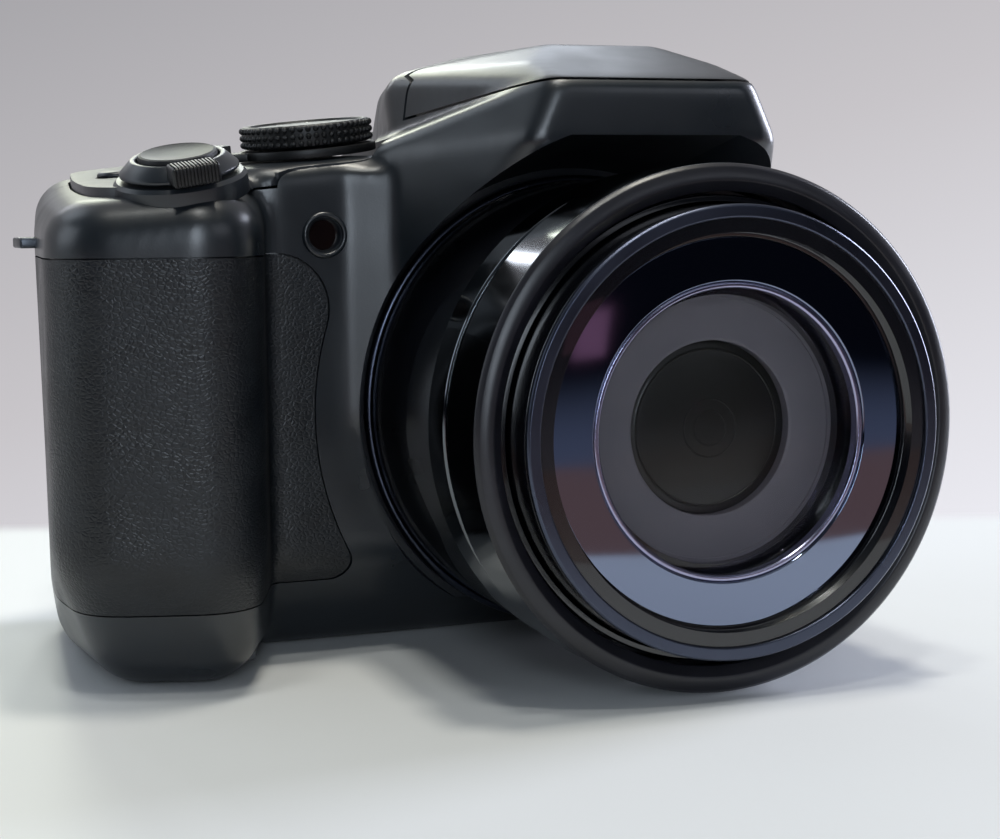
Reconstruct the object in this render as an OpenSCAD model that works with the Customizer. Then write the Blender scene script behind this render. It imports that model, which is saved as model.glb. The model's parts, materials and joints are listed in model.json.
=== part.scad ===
// Bridge camera: long zoom lens, deep grip, hood with pop-up flash, electronic finder.
// Origin on the base at the tripod socket. The lens points along -Y, the grip is on -X, +Z is up.

/* [Lens] */
// Wall radius of the filter thread
thread_r = 27.5; // [25:0.25:30]
// Length of the filter thread
thread_len = 2; // [1.5:0.1:3]
// Wall of the moving front barrel at its rim
rim_wall = 3.9; // [3:0.1:5]
// Wall of the middle barrel and of the cam ring
stage_wall = 0.9; // [0.7:0.1:1.4]
// Radial gap between nested barrels
stage_gap = 0.4; // [0.3:0.05:0.6]
// Wall of the fixed barrel where it leaves the body
barrel_wall = 0.9; // [0.8:0.1:1.8]
// How much wider the front ring is than the barrel
ring_flare = 1.7; // [1.2:0.1:3]
// Height of the front ring above the base plane
ring_lift = 0.6; // [0.4:0.1:3]
// Length of the barrel from its collar to the front ring's face
barrel_len = 52.6; // [48:0.2:58]
// How far the moving barrel's rim stands out of the front ring
rim_out = 3.6; // [2:0.1:5]
// Length of the rear polished band
band_rear_len = 5.5; // [3:0.1:7]
// Length of the groove between the polished bands
groove_len = 3.7; // [2:0.1:5]
// Length of the front polished band
band_front_len = 10.4; // [6:0.1:12]
// Radius of the clear front glass
glass_r = 19.9; // [16:0.1:22]
// Radius of the inner lens seen through the front glass
inner_lens_r = 12; // [9:0.1:14]

/* [Body] */
// From the lens axis to the right side
body_right = 43.2; // [42:0.2:50]
// From the tripod socket to the front face
front_y = 26; // [24:0.2:30]
// From the tripod socket to the rear face
rear_y = 25; // [23:0.2:30]
// From the tripod socket to the barrel's collar
barrel_y = 19.4; // [18:0.2:22]
// Height of the right shoulder
shoulder_h = 70; // [66:0.5:74]
// Wall of the moulded covers
wall = 2; // [1.6:0.1:2.4]
// From the tripod socket to the seam between the front and rear covers
seam_y = 2; // [0:0.2:3]
// Wall radius of the tripod thread
socket_r = 2.6; // [2.4:0.05:3]
// Depth of the tripod thread
socket_len = 5.5; // [4.5:0.1:6.5]

/* [Grip] */
// From the lens axis to the grip's outer side
grip_left = 87; // [84:0.5:92]
// From the tripod socket to the grip's nose
grip_nose = 48; // [44:0.5:52]
// From the lens axis to the grip's inner side
grip_inner = 57; // [54:0.5:59]
// Height of the rubber's lower edge
rubber_low = 12.2; // [10:0.2:16]
// Height of the rubber's upper edge
rubber_high = 62.4; // [56:0.2:64]
// Thickness of the grip rubber
rubber_t = 1.1; // [0.8:0.1:1.2]
// Height of the battery
battery_h = 42; // [36:0.5:46]

/* [Hood] */
// From the tripod socket to the hood's front face
hood_front = 49.6; // [46:0.2:53]
// Half the width of the hood's front face at its lower edge
hood_half_w = 21.2; // [19:0.2:23]
// Overall height
hump_h = 94.3; // [93:0.1:98]
// Half the width of the flat top
top_half_w = 12.8; // [10:0.2:15]
// Share of the hood's height above the lens opening that lifts with the flash
lid_share = 0.437; // [0.4:0.005:0.48]
// From the tripod socket to the flash hinge
lid_rear = 16; // [13:0.5:19]
// Angle that the flash opens to, in degrees
flash_open = 60; // [40:1:62]
// From the tripod socket to the finder's rear face
finder_rear = 38; // [36:0.5:42]
// Depth of the rubber eyecup
eyecup_len = 5.6; // [4:0.2:10]

/* [Controls] */
// Height of the control panel at the mode dial
panel_h = 77.2; // [76:0.1:78]
// Outward lean of the control panel in degrees
panel_side = 5.6; // [4:0.1:7]
// Forward lean of the control panel in degrees
panel_front = 3.5; // [2:0.1:5]
// Radius of the mode dial
dial_r = 10.3; // [8.5:0.1:10.8]
// Height of the mode dial
dial_h = 3.4; // [3:0.1:5]
// Radius of the zoom lever's ring
lever_r = 8.4; // [7.4:0.1:9]
// Outward lean of the shutter button in degrees
shutter_side = 8.8; // [6:0.1:11]
// Forward lean of the shutter button in degrees
shutter_front = 12.7; // [9:0.1:15]
// Travel of the shutter button
shutter_stroke = 1.2; // [0.6:0.1:1.6]
// Travel of the small push buttons
key_stroke = 0.5; // [0.3:0.05:0.7]

/* [Rear] */
// Width of the display glass
screen_w = 70; // [64:0.5:71]
// Height of the display glass
screen_h = 54; // [46:0.5:55]
// Radius of the thumb dial
thumb_dial_r = 8; // [7:0.1:9]

/* [Fits] */
// Gap between fixed pieces that seat on each other
fit_gap = 0.1; // [0.05:0.05:0.2]
// Gap between a moving piece and its seat
slide_gap = 0.3; // [0.25:0.05:0.45]
// Radial running clearance of pins and shafts
pin_gap = 0.05; // [0.03:0.01:0.1]

/* [Hidden] */
$fn = 96;
far = 200;
function both(points) = concat(points, [for (p = points) [-p[0], p[1], p[2], p[3], p[4]]]);

// Lens radii from the thread outwards, and places along the axis from the socket forwards
front_r = thread_r + rim_wall;
mid_in = front_r + stage_gap;
mid_out = mid_in + stage_wall;
cam_in = mid_out + stage_gap;
cam_out = cam_in + stage_wall;
barrel_in = cam_out + stage_gap;
barrel_r = barrel_in + barrel_wall;
seat_r = barrel_in + 0.6;
ring_r = barrel_r + ring_flare;
lens_z = ring_r + ring_lift;
lens_front = barrel_y + barrel_len;
ring_t = 2.4;
ring_back = lens_front - ring_t;
band_front_h = ring_back - band_front_len;
groove_h = band_front_h - groove_len;
band_rear_h = groove_h - band_rear_len;
floor_t = 1.6;
floor_h = barrel_y - 2;
flange_t = 2.2;
flange_h = floor_h - floor_t - flange_t;
flange_r = barrel_r + 3;
flange_reach = 20;
plate_t = 2.2;
plate_h = flange_h - plate_t;
rim_h = lens_front + rim_out;
thread_top = rim_h - 0.6;
thread_bottom = thread_top - thread_len;
name_t = 1.2;
name_h = thread_bottom - name_t;
name_r = thread_r - 0.6;
bezel_w = 0.9;
lens_edge = 2;
lens_r = glass_r + 0.5;
bulge = 1.7;
lens_rim = thread_bottom - 0.3 - bulge;
cell_h = lens_rim - lens_edge;
ledge_h = cell_h - 1.8;
bulge_r = (lens_r * lens_r + bulge * bulge) / (2 * bulge);
baffle_depth = 0.6;
front_rear_h = lens_front - 38;
mid_front_h = lens_front - 3.6;
mid_rear_h = front_rear_h - 8;
cell_t = 3;

// Opening in the front cover round the barrel
well_r = barrel_r + 2.2;
well_spread = 0.195;
roof_z = lens_z + 41.6;
function well_at(h) = well_r + well_spread * (h - floor_h);
lid_seam_h = hump_h - lid_share * (hump_h - roof_z);

// Centre of the mode dial, which the control panel leans about
dial_x = -42.6;
dial_y = -13;
rise_x = tan(panel_side);
rise_y = tan(panel_front) / cos(panel_side);
lean = sqrt(rise_x * rise_x + rise_y * rise_y);
function panel_z(x, y) = panel_h + rise_x * (x - dial_x) + rise_y * (y - dial_y);
function below_panel(x, y, r, e) = [x, y, panel_z(x, y) - (r - e) * lean - e * sqrt(1 + lean * lean), r, e];

// Rings that the body's forms are stretched over: [x, y, z, radius, edge radius]
// The grip's posts at the top, at its belly and on the base: [x, y, radius]
crown_posts = [
  [11 - grip_left, 14.5 - grip_nose, 10.8],
  [-grip_inner - 9, 9 - grip_nose, 9],
  [13.4 - grip_left, -10, 11],
  [14.4 - grip_left, rear_y - 8, 8],
  [2 - grip_inner, rear_y - 8, 8],
  [1 - grip_inner, -12, 6]
];
belly_posts = [
  [10.8 - grip_left, 16 - grip_nose, 10.8],
  [-grip_inner - 9, 11 - grip_nose, 9]
];
toe_posts = [
  [13.5 - grip_left, 20.5 - grip_nose, 8.5],
  [-grip_inner - 8, 17.4 - grip_nose, 8.5],
  [14.6 - grip_left, -10, 11],
  [15 - grip_left, rear_y - 8, 8],
  [2 - grip_inner, rear_y - 8, 8],
  [1 - grip_inner, -12, 6]
];
toe_edge = 9;
crown_edge = 6.5;
belly_z = 21;
grip_rings = concat(
  [for (p = toe_posts) [p[0], p[1], min(toe_edge, p[2]), p[2], min(toe_edge, p[2])]],
  [for (p = belly_posts) [p[0], p[1], belly_z, p[2], toe_edge]],
  [for (p = crown_posts) below_panel(p[0], p[1], p[2], min(crown_edge, p[2]))]
);
inner_x = 7 - grip_inner;
right_x = body_right - 8;
block_edge = 6;
brow_edge = 2.6;
chin_z = 18;
chin_back = 11;
block_rings = [
  below_panel(inner_x, 8 - front_y, 8, brow_edge),
  below_panel(dial_x + 8, 8 - front_y, 8, brow_edge),
  [right_x, 8 - front_y, shoulder_h - block_edge, 8, block_edge],
  below_panel(inner_x, rear_y - 8, 8, brow_edge),
  [right_x, rear_y - 8, shoulder_h - block_edge, 8, block_edge],
  [inner_x, 8 - front_y, chin_z, 8, block_edge],
  [right_x, 8 - front_y, chin_z, 8, block_edge],
  [inner_x, 8 - front_y + chin_back, block_edge, 8, block_edge],
  [right_x, 8 - front_y + chin_back, block_edge, 8, block_edge],
  [inner_x, rear_y - 8, block_edge, 8, block_edge],
  [right_x, rear_y - 8, block_edge, 8, block_edge]
];
shoulder_x = barrel_r - 2.3;
shoulder_z = panel_z(-shoulder_x, -front_y) + 1;
hood_edge = 2;
hood_rings = concat(
  both([
    [hood_half_w - 4, 4 - hood_front, roof_z - 0.6, 4, hood_edge],
    [hood_half_w - 7.2, 4 - hood_front, lid_seam_h - hood_edge, 4, hood_edge],
    [shoulder_x, rear_y - 8, 60, 5, 4],
    [shoulder_x, rear_y - 8, shoulder_h + 2, 5, 4]
  ]), [
    [-shoulder_x, 4 - front_y, lens_z + 8, 4, hood_edge],
    [-shoulder_x, 4 - front_y, shoulder_z - hood_edge, 4, hood_edge],
    [shoulder_x - 5, 8 - front_y, lens_z + 8, 4, hood_edge],
    [shoulder_x - 5, 8 - front_y, shoulder_h + 1, 4, hood_edge]
  ]
);
finder_half_w = 20;
finder_low = 62;
finder_top = hump_h - 6.3;
hump_rings = both([
  [hood_half_w - 6.4, 4 - hood_front, lid_seam_h - 2.4, 3, 3],
  [top_half_w + 1.9, -38, hump_h - 6.1, 2.3, 2.3],
  [top_half_w - 4.1, -29.5, hump_h - 2.8, 2.3, 2.3],
  [top_half_w - 2.3, 4, hump_h - 2.3, 2.3, 2.3],
  [top_half_w + 11.8, -10, hump_h - 7.7, 4.2, 4.2],
  [top_half_w + 8, 6, hump_h - 8.5, 4.2, 4.2],
  [shoulder_x - 8.2, -13, hump_h - 15, 4, 4],
  [shoulder_x - 13, 10, hump_h - 15, 4, 4],
  [finder_half_w - 3, rear_y - 6, hump_h - 17, 4, 4],
  [finder_half_w - 8.5, finder_rear - 3, finder_top - 3, 3, 3],
  [finder_half_w - 3, finder_rear - 3, finder_low + 3, 3, 3],
  [finder_half_w - 3, 0, finder_low + 3, 3, 3]
]);

// Control panel
shutter_x = 10 - grip_inner - 21;
shutter_y = 11.2 - grip_nose;
panel_t = 1.8;
boss_r = lever_r + 0.9;
boss_h = 0.8;
panel_right = dial_x + 11.1;
panel_outline = [
  [11.5 - grip_left, rear_y - 12], [8 - grip_left, -12], [7 - grip_left, 17 - grip_nose],
  [11 - grip_left, 8 - grip_nose], [-grip_inner - 10, 3.5 - grip_nose], [-grip_inner - 4.5, 6.5 - grip_nose],
  [-grip_inner - 2.5, 16 - grip_nose], [3.5 - grip_inner, 1.2 - front_y], [panel_right, 1.2 - front_y],
  [panel_right, rear_y - 12]
];
shaft_r = 2.4;
button_r = lever_r - 2.8;
stem_r = 1.6;
lever_h = 2.4;
lever_floor = 0.7;
power_t = 1.3;
key_r = 2.8;
key_stem_r = 1.1;
top_keys = [[-grip_inner - 7.5, -14], [-grip_inner - 15.5, -12]];

// Flash
hinge_drop = 3;
lid_rod_r = hinge_drop - 0.1;
trough_r = hinge_drop / cos(flash_open / 2) + slide_gap;
hinge_z = hump_h - hinge_drop;
knuckle_w = 9;
pin_r = 0.75;
lug_r = 1.5;
lug_w = 2.6;
post_low = lens_z + well_r - 0.5;
lid_wall = 1.6;
seam_slope = 0.136;
function lid_seam(y) = lid_seam_h - seam_slope * (y + hood_front);
lamp_half_w = 11.5;
lamp_d = 6.5;
lamp_top = lid_seam_h + 1.2;
lamp_low = (lid_seam_h + roof_z) / 2;
flash_key_x = shoulder_x - 6.6;
flash_key_y = -4;
flash_key_z = hump_h - 14.6;
flash_key_sunk = wall + 1;

// Rear face
screen_x = body_right - 4.2 - screen_w / 2;
screen_z = 32;
glass_t = 1.8;
panel_depth = 5;
pad_x = -57;
pad_z = 27;
pad_pitch = 8.8;
set_r = 4.2;
cursor_r = 3.4;
rear_keys = [[-46, 47], [-47.5, 11], [-66.5, 11], [-54, 47]];
rear_key_r = 2.9;
thumb_x = -52;
thumb_z = 62;
thumb_t = 4;
thumb_out = 2;
eye_z = (finder_low + finder_top) / 2 - 0.5;
eye_half_w = 9;
cup_half_w = 16.5;
cup_half_h = (finder_top - finder_low) / 2 - 3.2;
eye_half_h = cup_half_h - 3.3;
dioptre_r = 4;
dioptre_t = 2.6;
dioptre_y = finder_rear - 7;
dioptre_z = (finder_low + eye_z) / 2 + 1.75;

// Base and grip floor
base_t = 2;
base_x0 = -52.6;
base_x1 = body_right - 8.5;
base_y0 = 20.5 - front_y;
base_y1 = rear_y - 6;
bush_r = 5;
screw_r = 1.8;
shank_r = 0.9;
screw_inset = 4;
foot_t = 1.6;
door_x0 = 12 - grip_left;
door_x1 = -grip_inner - 1.6;
door_y0 = -25;
door_y1 = 9;
door_low = 0.4;
door_t = 1.8;
hinge_x = door_x1 + 1.2;
hinge_h = 2.5;
knuckle_r = 1.5;
box_wall = 1;
battery_w = 14;
battery_d = 33;
card_t = 2.1;
card_w = 24;
card_h = 32;
card_inset = 4;
box_x1 = -grip_inner - 1;
box_x0 = box_x1 - battery_w - card_t - 3 * box_wall - 4 * fit_gap;
box_y0 = -26.4;
box_low = 4.4;
pocket_x = box_x0 + box_wall;
card_x = pocket_x + battery_w + 2 * fit_gap + box_wall;

// Main board and its ports
board_x0 = -46;
board_y = 8;
board_t = 1.6;
board_top = 58;
port_w = 16;
port_d = 3.4;
port_h = 7;

// Side pieces
lug_z = 64.5;
lug_y = -9;
term_y0 = 5;
term_y1 = 16;
term_z0 = 22;
term_z1 = 47;
term_t = 1.5;
term_pin_r = 0.5;
lamp_x = -44;
lamp_z = 65.1;
lamp_r = 2.3;

// Frames that pieces are drawn in
module lens_frame() {
  translate([0, 0, lens_z]) rotate([90, 0, 0]) children();
}
module panel_frame(x, y) {
  translate([x, y, panel_z(x, y)]) rotate([panel_front, -panel_side, 0]) children();
}
module shutter_frame() {
  translate([shutter_x, shutter_y, panel_z(shutter_x, shutter_y) + boss_h])
    rotate([shutter_front, -shutter_side, 0]) children();
}
module rear_frame(x, z) {
  translate([x, rear_y, z]) rotate([-90, 0, 0]) children();
}
module side_prism(x0, x1) {
  translate([x0, 0, 0]) rotate([90, 0, 90]) linear_extrude(x1 - x0) children();
}

// Shapes that repeat
module tube(r_in, r_out, h0, h1) {
  difference() {
    translate([0, 0, h0]) cylinder(r = r_out, h = h1 - h0);
    translate([0, 0, h0 - 1]) cylinder(r = r_in, h = h1 - h0 + 2);
  }
}
module slab(x0, x1, y0, y1, z0, z1) {
  translate([x0, y0, z0]) cube([x1 - x0, y1 - y0, z1 - z0]);
}
module round_rect(x0, x1, y0, y1, r) {
  translate([x0 + r, y0]) square([x1 - x0 - 2 * r, y1 - y0]);
  translate([x0, y0 + r]) square([x1 - x0, y1 - y0 - 2 * r]);
  for (x = [x0 + r, x1 - r], y = [y0 + r, y1 - r]) translate([x, y]) circle(r);
}
module soft_ring(p, g) {
  e = p[4] - g;
  translate([p[0], p[1], p[2]])
    for (a = [-90:30:90])
      translate([0, 0, e * sin(a)]) cylinder(r = max(p[3] - p[4] + e * cos(a), 0.05), h = 0.01, $fn = 28);
}
module form(rings, g) {
  hull() for (p = rings) soft_ring(p, g);
}
module body_form(g) {
  form(grip_rings, g);
  form(block_rings, g);
  form(hood_rings, g);
  form(hump_rings, g);
}
module push_key(r, stem, h, sunk) {
  rotate_extrude() polygon([
    [0, -sunk], [stem, -sunk], [stem, 0], [r, 0], [r, h - 0.4], [r - 0.4, h], [0, h]
  ]);
}

// Zones that pieces share
module lens_well(g, floor_drop) {
  intersection() {
    lens_frame() rotate_extrude() polygon([
      [0, floor_h - floor_drop], [well_r + g, floor_h - floor_drop],
      [well_at(hood_front + 8) + g, hood_front + 8], [0, hood_front + 8]
    ]);
    slab(-far, far, -far, far, -far, roof_z + g);
  }
}
module rubber_zone(c) {
  difference() {
    slab(-far, 0, -far, c - 4, rubber_low - c, rubber_high + c);
    lens_frame() translate([0, 0, -far]) cylinder(r = well_at(front_y) + 7 - c, h = 2 * far);
  }
}
module panel_zone(c, depth) {
  intersection() {
    linear_extrude(far) offset(delta = c) polygon(panel_outline);
    panel_frame(dial_x, dial_y) translate([-far, -far, -depth]) cube([2 * far, 2 * far, far]);
  }
}
module shutter_boss(c) {
  intersection() {
    shutter_frame() translate([0, 0, -8]) cylinder(r1 = boss_r + 1.6 + c, r2 = boss_r - 0.6 + c, h = 8 + c);
    panel_frame(dial_x, dial_y) translate([-far, -far, -panel_t - c]) cube([2 * far, 2 * far, far]);
  }
}
module lid_zone(c, rod_r) {
  side_prism(-far, far) polygon([
    [-far, lid_seam(-far) - c], [c - lid_rear, lid_seam(-lid_rear) - c], [c - lid_rear, far], [-far, far]
  ]);
  hinge_rod(rod_r, top_half_w + 13.2 + c);
}
module hinge_rod(r, half_w) {
  translate([-half_w, -lid_rear, hinge_z]) rotate([0, 90, 0]) cylinder(r = r, h = 2 * half_w);
}
module hinge_lugs(r, c) {
  for (s = [-1, 1])
    translate([s * (knuckle_w + slide_gap + lug_w / 2) - lug_w / 2 - c, -lid_rear, hinge_z]) {
      rotate([0, 90, 0]) cylinder(r = r, h = lug_w + 2 * c);
      translate([0, -r, post_low - hinge_z]) cube([lug_w + 2 * c, r + c + 0.3, hinge_z - post_low]);
    }
}
module door_zone(c) {
  slab(door_x0 - c, door_x1 + 3.8, door_y0 - c, door_y1 + c, -1, wall + 2.6);
}
module base_zone(c) {
  translate([0, 0, -1]) linear_extrude(base_t + 1 + c)
    round_rect(base_x0 - c, base_x1 + c, base_y0 - c, base_y1 + c, 3);
}
module screw_spots() {
  for (x = [base_x0 + screw_inset, base_x1 - screw_inset], y = [base_y0 + screw_inset, base_y1 - screw_inset])
    translate([x, y, 0]) children();
}
module terminal_zone(c) {
  slab(body_right - wall - 1, body_right + 5, term_y0 - c, term_y1 + c, term_z0 - c, term_z1 + c);
  terminal_pin(term_pin_r + pin_gap, 1.8);
}
module terminal_pin(r, reach) {
  translate([body_right - term_t / 2, term_y0 + term_t / 2, term_z0 - reach])
    cylinder(r = r, h = term_z1 - term_z0 + 2 * reach);
}
module lug_bar(side, c) {
  x0 = side < 0 ? -grip_left - 0.2 : body_right - 3;
  slab(x0 - c, x0 + 5.6 + c, lug_y - 4 - c, lug_y + 4 + c, lug_z - 0.8 - c, lug_z + 0.8 + c);
}

// Moulded covers
module cover_skin() {
  difference() {
    union() {
      difference() {
        body_form(0);
        body_form(wall);
      }
      intersection() {
        body_form(0);
        lens_well(wall, floor_t);
      }
      intersection() {
        form(hood_rings, 0);
        slab(panel_right, panel_right + wall, -far, rear_y - 12, panel_h - 8, far);
      }
    }
    lens_well(0, 0);
    lens_frame() cylinder(r = barrel_r + fit_gap, h = lens_front);
    lid_zone(slide_gap, trough_r);
    panel_zone(fit_gap, wall + 1);
    shutter_boss(fit_gap);
    base_zone(fit_gap);
    door_zone(slide_gap);
    for (side = [-1, 1]) lug_bar(side, fit_gap);
  }
}
module front_cover() {
  $fn = 48;
  color("#23262a") difference() {
    union() {
      difference() {
        cover_skin();
        difference() {
          rubber_zone(fit_gap);
          body_form(rubber_t + fit_gap);
        }
      }
      hinge_lugs(lug_r, 0);
      pin_boss(door_y0 - slide_gap - 3, door_y0 - slide_gap);
      intersection() {
        body_form(wall / 2);
        translate([flash_key_x - flash_key_sunk, flash_key_y, flash_key_z]) rotate([0, 90, 0])
          cylinder(r = key_r + slide_gap + 1.2, h = far);
      }
    }
    slab(-far, far, seam_y, far, -far, far);
    translate([lamp_x, -far, lamp_z]) rotate([-90, 0, 0]) cylinder(r = lamp_r + fit_gap, h = far);
    translate([0, flash_key_y, flash_key_z]) rotate([0, 90, 0]) cylinder(r = key_r + slide_gap, h = far);
    hinge_rod(pin_r + pin_gap, knuckle_w + slide_gap + lug_w + 1);
    door_bore();
  }
}
module rear_cover() {
  $fn = 48;
  color("#23262a") difference() {
    union() {
      cover_skin();
      pin_boss(door_y1 + slide_gap, door_y1 + slide_gap + 3);
      intersection() {
        body_form(0);
        translate([thumb_x, rear_y + thumb_out - thumb_dial_r, thumb_z - thumb_t / 2 - 3.3])
          cylinder(r = 5.5, h = 3);
      }
    }
    slab(-far, far, -far, seam_y, -far, far);
    rear_frame(0, 0) translate([0, 0, -wall - 1]) linear_extrude(20)
      mirror([0, 1]) round_rect(screen_x - screen_w / 2 - fit_gap, screen_x + screen_w / 2 + fit_gap,
        screen_z - screen_h / 2 - fit_gap, screen_z + screen_h / 2 + fit_gap, 2);
    rear_holes();
    door_bore();
    slab(-eye_half_w, eye_half_w, rear_y, far, eye_z - eye_half_h, eye_z + eye_half_h);
    terminal_zone(slide_gap);
    translate([thumb_x, rear_y + thumb_out - thumb_dial_r, thumb_z])
      thumb_wheel_space();
    translate([finder_half_w - 4, dioptre_y, dioptre_z]) rotate([0, 90, 0])
      cylinder(r = dioptre_r + slide_gap, h = 20);
  }
}
module pin_boss(y0, y1) {
  intersection() {
    translate([hinge_x, y0, hinge_h]) rotate([-90, 0, 0]) cylinder(r = 1.8, h = y1 - y0);
    slab(-far, far, -far, far, 0.3, far);
  }
}
module door_bore() {
  translate([hinge_x, door_y0 - 3.4, hinge_h]) rotate([-90, 0, 0])
    cylinder(r = pin_r + pin_gap, h = door_y1 - door_y0 + 6.8);
}
module thumb_wheel_space() {
  r = thumb_dial_r + slide_gap;
  h = thumb_t + 2 * slide_gap;
  translate([0, 0, -h / 2]) cylinder(r = r, h = h);
  translate([0, 0, -thumb_t]) cylinder(r = shaft_r / 2 + pin_gap, h = thumb_t);
}
module rear_holes() {
  rear_frame(pad_x, pad_z) translate([0, 0, -wall - 2]) cylinder(r = set_r + slide_gap, h = 10);
  for (a = [0:90:270])
    rear_frame(pad_x + pad_pitch * cos(a), pad_z + pad_pitch * sin(a))
      translate([0, 0, -wall - 2]) cylinder(r = cursor_r + slide_gap, h = 10);
  for (k = rear_keys)
    rear_frame(k[0], k[1]) translate([0, 0, -wall - 2]) cylinder(r = rear_key_r + slide_gap, h = 10);
}
module control_panel() {
  color("#26292d") difference() {
    union() {
      intersection() {
        union() {
          form(grip_rings, 0);
          form(block_rings, 0);
        }
        panel_zone(0, panel_t);
      }
      shutter_boss(0);
    }
    shutter_frame() translate([0, 0, -20]) cylinder(r = stem_r + pin_gap, h = 40);
    panel_frame(dial_x, dial_y) translate([0, 0, -10]) cylinder(r = shaft_r + pin_gap, h = 20);
    for (k = top_keys) {
      panel_frame(k[0], k[1]) translate([0, 0, -key_stroke - slide_gap])
        cylinder(r = key_r + slide_gap, h = 10);
      panel_frame(k[0], k[1]) translate([0, 0, -10]) cylinder(r = key_stem_r + pin_gap, h = 20);
    }
  }
}
module base_cover() {
  color("#1d1f22") difference() {
    linear_extrude(base_t) round_rect(base_x0, base_x1, base_y0, base_y1, 3);
    translate([0, 0, -1]) cylinder(r = bush_r + fit_gap, h = base_t + 2);
    screw_spots() translate([0, 0, -1]) cylinder(r = screw_r + fit_gap, h = 2.2);
    screw_spots() translate([0, 0, -1]) cylinder(r = shank_r + fit_gap, h = base_t + 2);
  }
}
module grip_rubber() {
  color("#17181a") intersection() {
    difference() {
      union() {
        form(grip_rings, 0);
        form(block_rings, 0);
      }
      form(grip_rings, rubber_t);
      form(block_rings, rubber_t);
    }
    rubber_zone(0);
  }
}
module thumb_pad() {
  color("#17181a") hull()
    for (x = [19.5 - grip_left, -grip_inner - 8.5], z = [41, 62]) {
      translate([x, rear_y, z]) rotate([-90, 0, 0]) cylinder(r = 5, h = 0.6, $fn = 32);
      translate([x, rear_y, z]) rotate([-90, 0, 0]) cylinder(r = 3, h = 2.2, $fn = 32);
    }
}

// Frame inside
module chassis() {
  left = box_x1;
  right = body_right - 7;
  color("#8f9499") difference() {
    union() {
      difference() {
        slab(left, right, -flange_h, -plate_h, lens_z - flange_reach, lens_z + flange_reach);
        lens_frame() cylinder(r = barrel_in, h = far);
      }
      slab(-40, body_right - 8, -plate_h - 1, 2 - plate_h, lens_z - 13, lens_z + 7);
      slab(base_x0 + 1, base_x1 - 1, base_y0 + 1, base_y1 - 1, base_t, base_t + foot_t);
      for (x = [-34, 30])
        side_prism(x, x + 2) polygon([
          [-plate_h - 0.2, lens_z - flange_reach + 8], [-plate_h - 0.2, lens_z - flange_reach],
          [base_y0 + 2, base_t + 0.4], [base_y0 + 9, base_t + 0.4]
        ]);
    }
    lens_frame() translate([-6, -5, 0]) cube([12, 10, plate_h + 2]);
    cylinder(r = bush_r + fit_gap, h = 20);
    screw_spots() cylinder(r = shank_r + pin_gap, h = 20);
  }
}
module tripod_bush() {
  color("#b9bcc0") difference() {
    union() {
      cylinder(r = bush_r, h = socket_len + 2);
      translate([0, 0, base_t + foot_t]) cylinder(r = bush_r + 2, h = socket_len + 0.4 - foot_t);
    }
    translate([0, 0, -1]) cylinder(r = socket_r, h = socket_len + 1);
  }
}
module base_screws() {
  color("#5a5d61") screw_spots() {
    translate([0, 0, 0.2]) cylinder(r = screw_r, h = 1);
    translate([0, 0, 0.2]) cylinder(r = shank_r, h = base_t + foot_t);
  }
}
module battery_box() {
  color("#2d2f31") difference() {
    slab(box_x0, box_x1, box_y0, box_y0 + battery_d + 2 * box_wall + 2 * fit_gap,
      box_low, box_low + battery_h + box_wall + fit_gap);
    slab(pocket_x, pocket_x + battery_w + 2 * fit_gap, box_y0 + box_wall,
      box_y0 + box_wall + battery_d + 2 * fit_gap, box_low - 1, box_low + battery_h + fit_gap);
    slab(card_x, card_x + card_t + 2 * fit_gap, box_y0 + box_wall + card_inset,
      box_y0 + box_wall + card_inset + card_w + 2 * fit_gap, box_low - 1, box_low + card_h + fit_gap);
  }
}
module battery() {
  color("#303338") translate([pocket_x + fit_gap, box_y0 + box_wall + fit_gap, box_low])
    cube([battery_w, battery_d, battery_h]);
}
module memory_card() {
  color("#1c2f5a") translate([card_x + fit_gap, box_y0 + box_wall + card_inset + fit_gap, box_low])
    cube([card_t, card_w, card_h]);
}
module main_board() {
  color("#1f6a3c") {
    slab(board_x0, body_right - 9, board_y, board_y + board_t, base_t + foot_t, board_top);
    for (z = [term_z0 + 4, term_z0 + 14])
      slab(body_right - port_w, body_right - wall - 0.6, board_y + board_t - 0.2, board_y + board_t + port_d,
        z, z + port_h);
  }
}
module image_sensor() {
  color("#3a3f52") {
    translate([-15, 2 - plate_h, lens_z - 12]) cube([30, 1.6, 18.5]);
    translate([-5.5, 0.6 - plate_h, lens_z - 4.5]) cube([11, 2.4, 9]);
  }
}
module zoom_motor() {
  color("#9a9da1") translate([-46.5, -plate_h, lens_z + 14]) rotate([-90, 0, 0]) {
    cylinder(r = 5, h = 12);
    cylinder(r = 2, h = 14);
  }
}

// Fixed part of the lens
module barrel_collar() {
  color("#15171a") lens_frame() rotate_extrude() polygon([
    [barrel_r + fit_gap, floor_h], [barrel_r + 1.1, floor_h], [barrel_r + 1.1, floor_h + 2.4],
    [barrel_r + 0.6, floor_h + 3], [barrel_r + fit_gap, floor_h + 3]
  ]);
}
module fixed_barrel() {
  color("#0f1012") {
    lens_frame() rotate_extrude() polygon([
      [barrel_in, flange_h], [barrel_r, flange_h], [barrel_r, floor_h + 4], [barrel_r + 0.7, band_rear_h],
      [seat_r, band_rear_h], [seat_r, ring_back], [barrel_in, ring_back]
    ]);
    intersection() {
      lens_frame() tube(barrel_in + barrel_wall / 2, flange_r, flange_h, flange_h + flange_t);
      slab(-far, far, -far, far, lens_z - flange_reach, lens_z + flange_reach);
    }
  }
}
module trim_band(h0, h1, r0, r1) {
  lens_frame() rotate_extrude() polygon([
    [seat_r + fit_gap, h0], [r0 - 0.3, h0], [r0, h0 + 0.4],
    [r1, h1 - 0.4], [r1 - 0.3, h1], [seat_r + fit_gap, h1]
  ]);
}
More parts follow.
